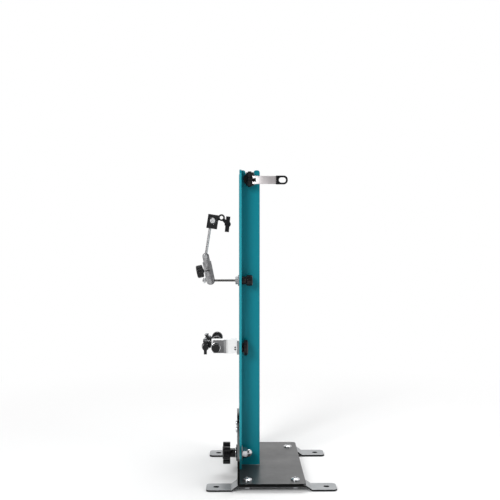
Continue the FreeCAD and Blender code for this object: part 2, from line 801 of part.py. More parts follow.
def skewer_rod():
    """Rod through both axle slots, with the eye for the lever's cross pin at its near end."""
    far_end = f"({FAR_OUT} + skewer_nut_length + skewer_spare_end)"
    start = f"({PIN_Y} + eye_radius * 0.7)"
    bar = rod("skewer_bar", "skewer_radius", HUB_X, start, "axle_height", f"{far_end} - {start}", "Y")
    eye = rod("skewer_eye", "eye_radius", HUB_X, PIN_Y, "axle_height - eye_thickness / 2", "eye_thickness")
    drill = rod("skewer_eye_drill", "cross_pin_radius + turn_gap", HUB_X, PIN_Y,
                "axle_height - eye_thickness", "eye_thickness * 2")
    return cut("skewer_rod", fuse("skewer_blank", bar, eye), drill)


def lever_arm():
    """Slotted cam barrel, off its pin by the throw, and the bowed blade with a window at its root."""
    low = f"({LEVER_Z} - lever_height / 2)"
    barrel = rod("lever_barrel", "cam_radius", f"{HUB_X} + {LOBE}", f"{PIN_Y} + {LOBE}",
                 "axle_height - cam_length / 2", "cam_length")
    blade = new_body("lever_blade")
    plan = sketch(blade, "XY", low)
    root, tip = HUB_X, f"({HUB_X} + lever_reach)"
    middle = f"({HUB_X} + lever_reach / 2)"
    front, back = f"({PIN_Y} - lever_thickness)", PIN_Y
    straight = f"({tip} - loop_overlap)"
    outline(plan, [(root, back), (middle, f"{back} - lever_bow"), (straight, back), (tip, back), (tip, front),
                   (straight, front), (middle, f"{front} - lever_bow"), (root, front)])
    pad(blade, plan, "lever_height")
    room, half = "(eye_radius + eye_spare)", "(eye_thickness / 2 + eye_spare)"
    bow_front = f"{PIN_Y} - lever_thickness - lever_bow"
    eye_room = box("lever_eye_room",
                   (f"{HUB_X} - cam_radius * 2", bow_front, f"axle_height - {half}"),
                   (f"{HUB_X} + {room}", f"{PIN_Y} + cam_radius * 2", f"axle_height + {half}"))
    window = box("lever_window_cut",
                 (f"{HUB_X} + eye_radius", bow_front, f"{LEVER_Z} - lever_window_height / 2"),
                 (f"{HUB_X} + lever_window", f"{PIN_Y} + cam_radius * 2",
                  f"{LEVER_Z} + lever_window_height / 2"))
    pin_hole = rod("lever_pin_hole", "cross_pin_radius + thread_gap", HUB_X, PIN_Y,
                   "axle_height - cam_length", "cam_length * 2")
    return cut("lever_arm", fuse("lever_blank", barrel, blade), eye_room, window, pin_hole)


def lever_tip():
    """Moulded finger loop pushed over the end of the blade."""
    body = new_body("lever_tip")
    front = sketch(body, "XZ", f"-({PIN_Y} + (loop_thickness - lever_thickness) / 2)")
    start = f"({HUB_X} + lever_reach - loop_overlap)"
    end = f"({start} + loop_length)"
    low, high = f"({LEVER_Z} - loop_height / 2)", f"({LEVER_Z} + loop_height / 2)"
    outline(front, [(start, low), (end, low), (end, high), (start, high)])
    pad(body, front, "loop_thickness")
    fillet(body, edges_through(body, x=end, z=low) + edges_through(body, x=end, z=high), "loop_height * 0.45")
    window = sketch(body, "XZ", f"-({PIN_Y} - lever_thickness / 2)")
    inner = "(loop_height / 2 - loop_wall)"
    slot(window, (f"{start} + loop_overlap + loop_land + {inner}", LEVER_Z),
         (f"{end} - loop_wall - {inner}", LEVER_Z), inner)
    pocket(body, window, "loop_thickness * 2")
    blade_room = sketch(body, "YZ", start)
    skin = "(lever_thickness / 2 + thread_gap)"
    middle = f"({PIN_Y} - lever_thickness / 2)"
    half = "(lever_height / 2 + thread_gap)"
    front_face, back_face = f"{middle} - {skin}", f"{middle} + {skin}"
    under, over = f"{LEVER_Z} - {half}", f"{LEVER_Z} + {half}"
    outline(blade_room, [(front_face, under), (back_face, under), (back_face, over), (front_face, over)])
    pocket(body, blade_room, "loop_overlap * 2")
    return body


def lever_pin():
    """Cross pin through the cam and the skewer's eye, headed at both ends."""
    half = "(cross_pin_length / 2)"
    barrel_end = "(cam_length / 2)"
    radius, head = "cross_pin_radius", "cross_pin_head"
    return turned("lever_pin", [("0", f"-{half}"), (head, f"-{half}"), (head, f"-{barrel_end}"),
                                (radius, f"-{barrel_end}"), (radius, barrel_end), (head, barrel_end),
                                (head, half), ("0", half)],
                  HUB_X, PIN_Y, "axle_height")


def skewer_nut():
    """Conical thumb nut against the far angle."""
    body = turned("skewer_nut", [("skewer_radius + turn_gap", "0"), ("skewer_nut_radius", "0"),
                                 ("skewer_nut_radius", "skewer_nut_length * 0.3"),
                                 ("skewer_nut_radius * 0.6", "skewer_nut_length"),
                                 ("skewer_radius + turn_gap", "skewer_nut_length")],
                  HUB_X, FAR_OUT, "axle_height", "Y")
    return body


# ---------------------------------------------------------------- rim gauge

PLATE_X = f"({LEG_OUT} - slide_gap - rim_plate_gauge)"
BAR_X = f"({PLATE_X} - rim_bar_length)"
CLAMP_X = f"({BAR_X} - rod_clamp_length)"
ROD_X = f"({CLAMP_X} + rod_inset)"
ROD_Z = "(rim_gauge_height + rim_bar_rise)"
BLOCK_FRONT = f"({NEAR_LEG} - rod_clamp_depth / 2)"
FEELER_X = f"({ROD_X} - feeler_offset)"
FEELER_Z = f"({ROD_Z} - feeler_drop)"


def rim_gauge_plate():
    """Serrated plate between the gauge bar and the leg."""
    half_y, half_z = "rim_plate_depth / 2", "rim_plate_height / 2"
    plate = box("rim_plate_blank", (PLATE_X, f"{NEAR_LEG} - {half_y}", f"rim_gauge_height - {half_z}"),
                (f"{LEG_OUT} - slide_gap", f"{NEAR_LEG} + {half_y}", f"rim_gauge_height + {half_z}"))
    drill = rod("rim_plate_drill", "rim_stud_radius + turn_gap", f"{PLATE_X} - drill_spare", NEAR_LEG,
                "rim_gauge_height", "rim_plate_gauge + drill_spare * 2", "X")
    return cut("rim_gauge_plate", plate, drill)


def rim_gauge_block():
    """Aluminium bar whose outer end is split to clamp the cross rod."""
    bar = box("rim_bar", (BAR_X, f"{NEAR_LEG} - rim_bar_depth / 2", f"{ROD_Z} - rim_bar_height / 2"),
              (PLATE_X, f"{NEAR_LEG} + rim_bar_depth / 2", f"{ROD_Z} + rim_bar_height / 2"))
    clamp = box("rod_clamp", (CLAMP_X, BLOCK_FRONT, f"{ROD_Z} - rod_clamp_height / 2"),
                (BAR_X, f"{NEAR_LEG} + rod_clamp_depth / 2", f"{ROD_Z} + rod_clamp_height / 2"))
    rod_bore = rod("rod_clamp_bore", "rod_radius + turn_gap", ROD_X, f"{BLOCK_FRONT} - drill_spare", ROD_Z,
                   "rod_clamp_depth + drill_spare * 2", "Y")
    slit = box("rod_clamp_cut",
               (f"{CLAMP_X} - drill_spare", f"{BLOCK_FRONT} - drill_spare", f"{ROD_Z} - rod_clamp_slit / 2"),
               (ROD_X, f"{NEAR_LEG} + rod_clamp_depth / 2 + drill_spare", f"{ROD_Z} + rod_clamp_slit / 2"))
    stud_bore = rod("rim_stud_bore", "rim_stud_radius + turn_gap", f"{PLATE_X} - rim_stud_bite - bore_floor",
                    NEAR_LEG, "rim_gauge_height", "rim_stud_bite + bore_floor + drill_spare", "X")
    return cut("rim_gauge_block", fuse("rim_block_blank", bar, clamp), rod_bore, slit, stud_bore)


def rim_plate_screws():
    """Two small screws on the front of the gauge bar, beside the plate."""
    screws = []
    for index, side in enumerate(("-", "+")):
        screws.append(rod(f"rim_plate_screw_{index}", "rim_plate_screw_radius",
                          f"{PLATE_X} - rim_plate_screw_inset",
                          f"{NEAR_LEG} - rim_bar_depth / 2 - rim_plate_screw_head",
                          f"rim_gauge_height {side} rim_plate_screw_pitch / 2", "rim_plate_screw_head", "Y"))
    return group("rim_plate_screws", screws)


def rim_lock():
    """Thumb knob inside the angle; its stud passes the slot and screws into the gauge bar."""
    knob = turned("rim_lock_knob", [("rim_stud_radius + thread_gap", "0"), ("rim_knob_neck_radius", "0"),
                                    ("rim_knob_neck_radius", "rim_knob_length * 0.25"),
                                    ("rim_knob_radius", "rim_knob_length * 0.4"),
                                    ("rim_knob_radius", "rim_knob_length * 0.85"),
                                    ("rim_knob_radius * 0.8", "rim_knob_length"),
                                    ("rim_stud_radius + thread_gap", "rim_knob_length")],
                  f"{LEG_IN} + slide_gap", NEAR_LEG, "rim_gauge_height", "X")
    start = f"({PLATE_X} - rim_stud_bite)"
    end = f"({LEG_IN} + slide_gap + rim_knob_length)"
    stud = rod("rim_lock_stud", "rim_stud_radius", start, NEAR_LEG, "rim_gauge_height",
               f"{end} - {start}", "X")
    return [knob, stud]


def cross_rod_set():
    """Rod towards the rim, with its ring and knurled knob in front of the clamp."""
    ring_start = f"({BLOCK_FRONT} - rod_travel - rod_ring_gauge)"
    knob_start = f"({ring_start} - rod_knob_length)"
    far_end = "(hub_offset + rod_far_reach)"
    bar = rod("cross_rod", "rod_radius", ROD_X, f"{knob_start} + rod_knob_floor", ROD_Z,
              f"{far_end} - {knob_start} - rod_knob_floor", "Y")
    ring = washer("cross_rod_ring", "rod_radius + thread_gap", "rod_ring_radius", "rod_ring_gauge",
                  ROD_X, ring_start, ROD_Z, "Y")
    bore = "rod_radius + thread_gap"
    knob = turned("cross_rod_knob", [("0", "0"), ("rod_knob_radius", "0"),
                                     ("rod_knob_radius", "rod_knob_length"), (bore, "rod_knob_length"),
                                     (bore, "rod_knob_floor"), ("0", "rod_knob_floor")],
                  ROD_X, knob_start, ROD_Z, "Y")
    fillet(knob, rims(knob, "rod_knob_radius", "0"), "knob_edge")
    return [bar, ring, knob]


def feeler_arm(side, sign):
    """Arm that slides on the cross rod and carries a feeler screw in its boss."""
    body = new_body(f"{side}_feeler_arm")
    start = f"(hub_offset {sign} (rim_half_width + arm_clearance))"
    if sign == "-":
        normal_start = f"-{start}"
    else:
        normal_start = f"-({start} + arm_thickness)"
    face = sketch(body, "XZ", normal_start)
    circle(face, ROD_X, ROD_Z, "arm_ring_radius")
    pad(body, face, "arm_thickness")
    boss = sketch(body, "XZ", normal_start)
    circle(boss, FEELER_X, FEELER_Z, "arm_boss_radius")
    pad(body, boss, "arm_thickness")
    link = sketch(body, "XZ", normal_start)
    half = "arm_boss_radius * 0.8"
    lobe_left, lobe_right = f"{FEELER_X} - arm_lobe_width * 0.3", f"{FEELER_X} + arm_lobe_width * 0.7"
    lobe_top, step = f"{FEELER_Z} + arm_lobe_height", f"{FEELER_X} + arm_lobe_width * 0.14"
    outline(link, [(ROD_X, f"{ROD_Z} - {half}"), (FEELER_X, f"{FEELER_Z} - {half}"),
                   (FEELER_X, f"{FEELER_Z} + {half}"), (lobe_left, lobe_top), (step, lobe_top),
                   (step, f"{lobe_top} - arm_step"), (lobe_right, f"{lobe_top} - arm_step"),
                   (ROD_X, f"{ROD_Z} + {half}")])
    pad(body, link, "arm_thickness")
    middle = f"{normal_start} + arm_thickness / 2"
    bores = sketch(body, "XZ", middle)
    circle(bores, ROD_X, ROD_Z, "rod_radius + turn_gap")
    pocket(body, bores, "arm_thickness * 2")
    screw_bore = sketch(body, "XZ", middle)
    circle(screw_bore, FEELER_X, FEELER_Z, "feeler_radius + turn_gap")
    pocket(body, screw_bore, "arm_thickness * 2")
    return body


def arm_screws(side, sign):
    """Cap screws on the two steps of an arm's top that pinch it on the rod."""
    top = f"({FEELER_Z} + arm_lobe_height)"
    y = f"(hub_offset {sign} (rim_half_width + arm_clearance + arm_thickness / 2))"
    screws = []
    seats = ((f"{FEELER_X} - arm_lobe_width * 0.05", top),
             (f"{FEELER_X} + arm_lobe_width * 0.34", f"{top} - arm_step"))
    for index, (x, seat) in enumerate(seats):
        screws.append(turned(f"{side}_arm_screw_{index}",
                             [("0", "0"), ("arm_screw_head_radius", "0"),
                              ("arm_screw_head_radius", "arm_screw_head"), ("0", "arm_screw_head")],
                             x, y, seat))
    return group(f"{side}_arm_screws", screws)


def feeler(side, sign):
    """Feeler screw with a narrow tip beside the rim, and its wing at the outer end."""
    axis = "Y" if sign == "-" else "-Y"
    inward = "+" if sign == "-" else "-"
    tip = f"(hub_offset {sign} (rim_half_width + feeler_touch_gap))"
    length = "(arm_clearance - feeler_touch_gap + arm_thickness + feeler_stub + wing_length)"
    back = f"({tip} {sign} {length})"
    screw = turned(f"{side}_feeler_screw",
                   [("0", "bore_floor"), ("feeler_radius", "bore_floor"),
                    ("feeler_radius", f"{length} - feeler_tip_length"),
                    ("feeler_tip_radius", f"{length} - feeler_tip_length / 2"), ("feeler_tip_radius", length),
                    ("0", length)], FEELER_X, back, FEELER_Z, axis)
    bore = "feeler_radius + thread_gap"
    hub = turned(f"{side}_wing_hub", [("0", "0"), ("wing_hub_radius * 0.8", "0"),
                                      ("wing_hub_radius", "wing_length"), (bore, "wing_length"),
                                      (bore, "bore_floor"), ("0", "bore_floor")],
                 FEELER_X, back, FEELER_Z, axis)
    blade_end = f"{back} {inward} wing_length * 0.8"
    low_y, high_y = (back, blade_end) if inward == "+" else (blade_end, back)
    blade = box(f"{side}_wing_blade", (f"{FEELER_X} - wing_gauge / 2", low_y, f"{FEELER_Z} - wing_span / 2"),
                (f"{FEELER_X} + wing_gauge / 2", high_y, f"{FEELER_Z} + wing_span / 2"))
    drill = rod(f"{side}_wing_drill", bore, FEELER_X, f"{back} {inward} bore_floor", FEELER_Z,
                "wing_length * 2", axis)
    wing = cut(f"{side}_feeler_wing", fuse(f"{side}_wing_blank", hub, blade), drill)
    return [screw, wing]


# ---------------------------------------------------------------- rotor gauge

SERRATED_X = f"({LEG_OUT} - slide_gap)"
SWIVEL_X = f"({LEG_OUT} - swivel_offset)"
ELBOW_X = f"({SWIVEL_X} - swivel_length * sin(swivel_tilt))"
ELBOW_Z = "(rotor_gauge_height + swivel_length * cos(swivel_tilt))"
KNOB_ROOT_X = f"({SWIVEL_X} - swivel_knob_rise * sin(swivel_tilt))"
KNOB_ROOT_Z = "(rotor_gauge_height + swivel_knob_rise * cos(swivel_tilt))"


def square_to_bar(thing, outward):
    """Turns an upright piece square to the leaning bar, and starts it outward of the bar's middle."""
    place(thing, f"{KNOB_ROOT_X} - ({outward}) * cos(swivel_tilt)", NEAR_LEG,
          f"{KNOB_ROOT_Z} - ({outward}) * sin(swivel_tilt)")
    return lean(thing, "90 - swivel_tilt")


def rotor_carriage():
    """Threaded post out through the leg's slot, held by a serrated flange nut."""
    start = f"({LEG_OUT} - post_reach)"
    end = f"({LEG_IN} + slide_gap + post_knob_neck_length)"
    post = rod("rotor_post", "post_radius", start, NEAR_LEG, "rotor_gauge_height", f"{end} - {start}", "X")
    bore = "post_radius + thread_gap"
    flange = washer("serrated_flange", bore, "serrated_radius", "serrated_flange",
                    SERRATED_X, NEAR_LEG, "rotor_gauge_height", "-X")
    hexagon = hex_nut("serrated_hexagon", "serrated_across", "serrated_length - serrated_flange", bore,
                      f"{SERRATED_X} - serrated_flange", NEAR_LEG, "rotor_gauge_height", "-X")
    return [post, fuse("rotor_flange_nut", flange, hexagon)]


def rotor_lock_knob():
    """Waisted knob inside the angle that locks the post."""
    bore, neck = "(post_radius + turn_gap)", "post_knob_neck_length"
    total = "(post_knob_neck_length + post_knob_length)"
    return turned("rotor_lock_knob", [(bore, "0"), ("post_knob_neck_radius", "0"),
                                      ("post_knob_neck_radius", f"{neck} * 0.8"), ("post_knob_radius", neck),
                                      ("post_knob_radius", f"{total} - knob_edge"),
                                      ("post_knob_radius - knob_edge", total), ("0", total),
                                      ("0", f"{neck} + bore_floor"), (bore, f"{neck} + bore_floor")],
                  f"{LEG_IN} + slide_gap", NEAR_LEG, "rotor_gauge_height", "X")


def swivel_facet(half, thick):
    """Broad slope along the bar's front right edge."""
    body = new_body("swivel_facet_cut")
    plan = sketch(body, "XY", "-swivel_width")
    inner, outer = f"{half} - swivel_facet", f"{half} + drill_spare"
    front, deep = f"-{thick} - drill_spare", f"swivel_facet_depth - {thick}"
    outline(plan, [(inner, front), (outer, front), (outer, deep), (half, deep), (inner, f"-{thick}")])
    pad(body, plan, "swivel_length + swivel_width * 2")
    return body


def swivel_notch(half, thick):
    """Short slot across the bar's front face."""
    return box("swivel_notch", (f"-{half} + drill_spare", f"-{thick} - drill_spare", "swivel_notch_rise"),
               (f"-{half} + drill_spare + swivel_notch_length", f"swivel_notch_depth - {thick}",
                "swivel_notch_rise + swivel_notch_width"))


def swivel_clamp():
    """Bar that turns on the post, leaning left, with a fork at its upper end."""
    half, thick = "(swivel_width / 2)", "(swivel_thickness / 2)"
    bar = box("swivel_bar", (f"-{half}", f"-{thick}", "0"), (half, thick, "swivel_length - fork_depth"))
    neck = box("swivel_neck_bar", ("-swivel_neck / 2", f"-{thick}", "swivel_length - fork_depth * 2"),
               ("swivel_neck / 2", thick, "swivel_length"))
    foot = rod("swivel_foot", half, "0", f"-{thick}", "0", "swivel_thickness", "Y")
    crown = rod("swivel_crown", "swivel_neck / 2", "0", f"-{thick}", "swivel_length", "swivel_thickness", "Y")
    fork = box("swivel_fork", ("-swivel_width", "-fork_gap / 2", "swivel_length - fork_depth"),
               ("swivel_width", "fork_gap / 2", "swivel_length * 2"))
    pin_hole = rod("swivel_pin_hole", "elbow_pin_radius + thread_gap", "0", "-swivel_thickness",
                   "swivel_length", "swivel_thickness * 2", "Y")
    blank = fuse("swivel_blank", bar, neck, foot, crown)
    upright_bar = cut("swivel_upright", blank, fork, pin_hole, swivel_facet(half, thick),
                      swivel_notch(half, thick))
    place(upright_bar, SWIVEL_X, NEAR_LEG, "rotor_gauge_height")
    lean(upright_bar, "-swivel_tilt")
    post_bore = rod("swivel_post_bore", "post_radius + turn_gap", f"{SWIVEL_X} - post_bore_run / 2",
                    NEAR_LEG, "rotor_gauge_height", "post_bore_run", "X")
    screw_bore = rod("swivel_screw_bore", "swivel_screw_radius + turn_gap", "0", "0", "0",
                     "swivel_width * 1.2")
    square_to_bar(screw_bore, "swivel_width")
    return cut("swivel_clamp", upright_bar, post_bore, screw_bore)


def swivel_fittings():
    """End nut on the post, the knurled knob with its screw, and the elbow screw."""
    nut_corner = "(end_nut_across / sqrt(3))"
    nut_x = f"({SWIVEL_X} - swivel_width / 2 / cos(swivel_tilt) - {nut_corner} * tan(swivel_tilt) - turn_gap)"
    end_nut = hex_nut("post_end_nut", "end_nut_across", "end_nut_length", "post_radius + thread_gap",
                      f"{nut_x} - end_nut_length", NEAR_LEG, "rotor_gauge_height", "X")
    screw = "swivel_screw_radius"
    reach = "(swivel_knob_length + swivel_knob_standoff + swivel_width * 0.6)"
    collar, collar_end = f"{screw} * 2", "swivel_knob_length + swivel_knob_standoff * 0.5"
    knob = turned("swivel_knob", [("0", "0"), ("swivel_knob_radius - knob_edge", "0"),
                                  ("swivel_knob_radius", "knob_edge"),
                                  ("swivel_knob_radius", "swivel_knob_length - knob_edge"),
                                  ("swivel_knob_radius - knob_edge", "swivel_knob_length"),
                                  (collar, "swivel_knob_length"), (collar, collar_end), (screw, collar_end),
                                  (screw, reach), ("0", reach)], "0", "0", "0")
    square_to_bar(knob, "swivel_width / 2 + swivel_knob_standoff + swivel_knob_length")
    pin, head, rise = "elbow_pin_radius", "elbow_head_radius", "elbow_head"
    elbow = turned("elbow_screw", [("0", f"-{rise}"), (head, f"-{rise}"), (head, "0"), (pin, "0"),
                                   (pin, "swivel_thickness"), ("0", "swivel_thickness")],
                   ELBOW_X, f"{NEAR_LEG} - swivel_thickness / 2", ELBOW_Z, "Y")
    return [end_nut, knob, elbow]


def stem_rod():
    """Bright rod with a flat eye in the fork."""
    eye = rod("stem_eye", "stem_eye_radius", "0", "-stem_eye_gauge / 2", "0", "stem_eye_gauge", "Y")
    bar = rod("stem_bar", "stem_radius", "0", "0", "stem_root", "stem_length - stem_root")
    drill = rod("stem_drill", "elbow_pin_radius + turn_gap", "0", "-stem_eye_gauge", "0",
                "stem_eye_gauge * 2", "Y")
    flat_low = box("stem_flat_low", ("-stem_eye_radius", "-stem_eye_radius", "-stem_eye_radius"),
                   ("stem_eye_radius", "-stem_eye_gauge / 2", "stem_eye_radius + stem_flat"))
    flat_high = box("stem_flat_high", ("-stem_eye_radius", "stem_eye_gauge / 2", "-stem_eye_radius"),
                    ("stem_eye_radius", "stem_eye_radius", "stem_eye_radius + stem_flat"))
    solid = cut("stem_rod", fuse("stem_blank", eye, bar), drill, flat_low, flat_high)
    place(solid, ELBOW_X, NEAR_LEG, ELBOW_Z)
    return lean(solid, "stem_tilt")


STEM_TOP_X = f"({ELBOW_X} + stem_length * sin(stem_tilt))"
STEM_TOP_Z = f"({ELBOW_Z} + stem_length * cos(stem_tilt))"
HEAD_BOLT_LOCAL_Z = "(head_bolt_rise - head_bite)"
BOLT_AXIS_X = f"({STEM_TOP_X} + head_shift * cos(stem_tilt) + {HEAD_BOLT_LOCAL_Z} * sin(stem_tilt))"
BOLT_AXIS_Z = f"({STEM_TOP_Z} - head_shift * sin(stem_tilt) + {HEAD_BOLT_LOCAL_Z} * cos(stem_tilt))"
FINGER_Y = f"({NEAR_LEG} + head_depth / 2)"
TOUCH_X = f"({BOLT_AXIS_X} + finger_reach)"
TOUCH_Z = f"({BOLT_AXIS_Z} - finger_drop)"
EYE_X = f"({BOLT_AXIS_X} + finger_eye_out)"
EYE_Z = f"({BOLT_AXIS_Z} + finger_eye_up)"


def head_block():
    """Black block on top of the stem, drilled for the stem and for the finger's bolt."""
    low = "-head_bite"
    blank = box("head_blank", ("head_shift - head_width / 2", "-head_depth / 2", low),
                ("head_shift + head_width / 2", "head_depth / 2", "head_height - head_bite"))
    stem_bore = rod("head_stem_bore", "stem_radius + turn_gap", "0", "0", "-head_bite * 2",
                    "head_bite * 2 + stem_end_gap")
    bolt_bore = rod("head_bolt_bore", "head_bolt_radius + turn_gap", "head_shift", "-head_depth",
                    HEAD_BOLT_LOCAL_Z, "head_depth * 2", "Y")
    bolt_sink = rod("head_bolt_sink", "head_sink_radius", "head_shift", "-head_depth / 2 - drill_spare",
                    HEAD_BOLT_LOCAL_Z, "head_sink + drill_spare", "Y")
    solid = cut("head_block", blank, stem_bore, bolt_bore, bolt_sink)
    place(solid, STEM_TOP_X, NEAR_LEG, STEM_TOP_Z)
    return lean(solid, "stem_tilt")


def head_bolt():
    """Bright cap bolt, sunk in the block's face, through the block into the finger."""
    radius, head, rise = "head_bolt_radius", "head_bolt_head_radius", "head_bolt_head"
    reach = "(head_depth - head_sink + finger_gauge)"
    return turned("head_bolt", [("0", f"-{rise}"), (head, f"-{rise}"), (head, "0"), (radius, "0"),
                                (radius, reach), ("0", reach)],
                  BOLT_AXIS_X, f"{NEAR_LEG} - head_depth / 2 + head_sink", BOLT_AXIS_Z, "Y")


def bridge(body, start, end, half_width, offset):
    """Straight web between two bosses of a flat finger."""
    run = f"sqrt(({end[0]} - {start[0]})^2 + ({end[1]} - {start[1]})^2)"
    across_x = f"(({end[1]} - {start[1]}) * {half_width} / {run})"
    across_z = f"(({end[0]} - {start[0]}) * {half_width} / {run})"
    web = sketch(body, "XZ", offset)
    outline(web, [(f"{start[0]} + {across_x}", f"{start[1]} - {across_z}"),
                  (f"{end[0]} + {across_x}", f"{end[1]} - {across_z}"),
                  (f"{end[0]} - {across_x}", f"{end[1]} + {across_z}"),
                  (f"{start[0]} - {across_x}", f"{start[1]} + {across_z}")])
    pad(body, web, "finger_gauge")


def finger_plate():
    """Flat finger with an open eye, and a tapped boss for the touch screw."""
    body = new_body("finger_plate")
    offset = f"-({FINGER_Y} + finger_gauge)"
    spots = ((BOLT_AXIS_X, BOLT_AXIS_Z, "finger_hub_radius"), (EYE_X, EYE_Z, "finger_eye_radius"),
             (TOUCH_X, TOUCH_Z, "finger_boss_radius"))
    hub = sketch(body, "XZ", offset)
    circle(hub, *spots[0])
    pad(body, hub, "finger_gauge")
    bridge(body, spots[0], spots[1], "(finger_web / 2)", offset)
    for spot in spots[1:]:
        disc = sketch(body, "XZ", offset)
        circle(disc, *spot)
        pad(body, disc, "finger_gauge" if spot is spots[1] else "finger_boss_length")
        if spot is spots[1]:
            bridge(body, spots[1], spots[2], "(finger_web / 2)", offset)
    holes = sketch(body, "XZ", offset)
    circle(holes, BOLT_AXIS_X, BOLT_AXIS_Z, "head_bolt_radius + turn_gap")
    circle(holes, EYE_X, EYE_Z, "finger_eye_hole")
    circle(holes, TOUCH_X, TOUCH_Z, "touch_screw_radius + turn_gap")
    pocket(body, holes, "finger_boss_length * 3")
    return body


def finger_screw():
    """Touch screw that points at the rotor, with its wing in front."""
    tip = f"({NEAR_FACE} + rotor_inset - feeler_touch_gap)"
    back = f"({FINGER_Y} - finger_boss_length - touch_stub - touch_wing_length)"
    length = f"({tip} - {back})"
    radius = "touch_screw_radius"
    screw = turned("touch_screw", [("0", "bore_floor"), (radius, "bore_floor"),
                                   (radius, f"{length} - touch_point"), (f"{radius} * 0.5", length),
                                   ("0", length)], TOUCH_X, back, TOUCH_Z, "Y")
    blade = box("touch_wing_blade", ("-touch_wing_gauge / 2", "0", "-touch_wing_span / 2"),
                ("touch_wing_gauge / 2", "touch_wing_length * 0.8", "touch_wing_span / 2"))
    hub = rod("touch_wing_hub", "touch_wing_width / 2", "0", "0", "0", "touch_wing_length", "Y")
    drill = rod("touch_wing_drill", f"{radius} + thread_gap", "0", "bore_floor", "0",
                "touch_wing_length", "Y")
    wing = cut("touch_wing", fuse("touch_wing_blank", hub, blade), drill)
    place(wing, TOUCH_X, back, TOUCH_Z)
    return [screw, lean(wing, "touch_wing_lean")]


# ---------------------------------------------------------------- assembly

def build_all():
    """Every sub-part of the stand, in the order of assembly."""
    pieces = [base_plate(), foot_strip("front_foot_strip", f"-{STRIP_Y}"),
              foot_strip("rear_foot_strip", STRIP_Y)]
    pieces += base_fasteners()
    pieces += [far_upright(), *far_fasteners(), near_upright(), *upright_clamp(), star_knob()]
    pieces += [skewer_cap(), skewer_rod(), lever_arm(), lever_tip(), lever_pin(), skewer_nut()]
    pieces += [rim_gauge_plate(), rim_gauge_block(), rim_plate_screws(), *rim_lock(), *cross_rod_set()]
    for side, sign in (("near", "-"), ("far", "+")):
        pieces += [feeler_arm(side, sign), arm_screws(side, sign), *feeler(side, sign)]
    pieces += [*rotor_carriage(), rotor_lock_knob(), swivel_clamp(), *swivel_fittings(), stem_rod()]
    pieces += [head_block(), head_bolt(), finger_plate(), *finger_screw()]
    return pieces


def check_document(pieces):
    """Stops on any failed object or unsound shape."""
    for item in doc.Objects:
        if "Invalid" in item.State or "Error" in item.State:
            raise ValueError(f"{item.Label} failed: {item.State} {item.getStatusString()}")
    for piece in pieces:
        if piece.Shape.isNull() or not piece.Shape.isValid():
            raise ValueError(f"{piece.Label} has no sound shape")


def write_parts(pieces):
    os.makedirs("parts", exist_ok=True)
    for piece in pieces:
        piece.Shape.exportStep(f"parts/{piece.Label}.step")
        print(f"{piece.Label:24s} solids {len(piece.Shape.Solids)} volume {piece.Shape.Volume:10.1f}")


all_pieces = build_all()
doc.removeObject(reader.Name)
doc.recompute()
check_document(all_pieces)
write_parts(all_pieces)
print("nodes", len(all_pieces))
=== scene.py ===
"""A bench stand for truing bicycle wheels, dressed on its CAD frame. Metres, Z up."""

import math

import bmesh
import bpy
from mathutils import Matrix, Vector


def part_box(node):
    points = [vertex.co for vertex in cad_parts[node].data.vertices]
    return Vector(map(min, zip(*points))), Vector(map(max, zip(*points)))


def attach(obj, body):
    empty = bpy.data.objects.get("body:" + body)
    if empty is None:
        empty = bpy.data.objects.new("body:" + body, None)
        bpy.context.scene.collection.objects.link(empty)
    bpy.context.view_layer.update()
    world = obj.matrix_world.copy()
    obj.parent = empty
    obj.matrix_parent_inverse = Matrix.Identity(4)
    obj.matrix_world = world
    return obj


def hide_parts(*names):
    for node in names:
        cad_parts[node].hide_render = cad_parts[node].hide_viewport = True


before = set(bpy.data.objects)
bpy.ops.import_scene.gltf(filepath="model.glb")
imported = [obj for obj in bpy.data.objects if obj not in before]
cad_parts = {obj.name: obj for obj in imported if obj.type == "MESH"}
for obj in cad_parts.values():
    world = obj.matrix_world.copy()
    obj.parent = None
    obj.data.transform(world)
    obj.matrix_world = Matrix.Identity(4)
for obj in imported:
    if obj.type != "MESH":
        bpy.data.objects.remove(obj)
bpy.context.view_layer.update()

# ---------------------------------------------------------------- base plate
# Sheet steel, cut and folded up along its left side, with a taller ear for the far upright.
# Powder coated black with a fine speckle and rubbed thin along the edges; its front faces are painted black
# as a painted dark reflection.

MM = 0.001
MERGE = 0.001 * MM
PLATE_EDGE = 0.45 * MM
FACING_FRONT = -0.9
PAINTED_FRONT_BLACK = (0.006, 0.006, 0.006, 1)
BLACK_COAT = (0.006, 0.006, 0.007, 1)
BLACK_COAT_FLECK = (0.026, 0.026, 0.028, 1)
RUBBED_STEEL = (0.42, 0.42, 0.43, 1)


def node(tree, kind, inputs=None, **settings):
    """Adds a node; each input is a value, or the socket that feeds it."""
    item = tree.nodes.new(kind)
    for name, value in settings.items():
        setattr(item, name, value)
    for name, value in (inputs or {}).items():
        if isinstance(value, bpy.types.NodeSocket):
            tree.links.new(value, item.inputs[name])
        else:
            item.inputs[name].default_value = value
    return item


def group_of(name, inputs, outputs):
    """A shader node group with its named sockets, and its two end nodes."""
    group = bpy.data.node_groups.new(name, "ShaderNodeTree")
    for label, (kind, value) in inputs.items():
        group.interface.new_socket(label, in_out="INPUT", socket_type=kind).default_value = value
    for label in outputs:
        group.interface.new_socket(label, in_out="OUTPUT", socket_type="NodeSocketFloat")
    return group, group.nodes.new("NodeGroupInput"), group.nodes.new("NodeGroupOutput")


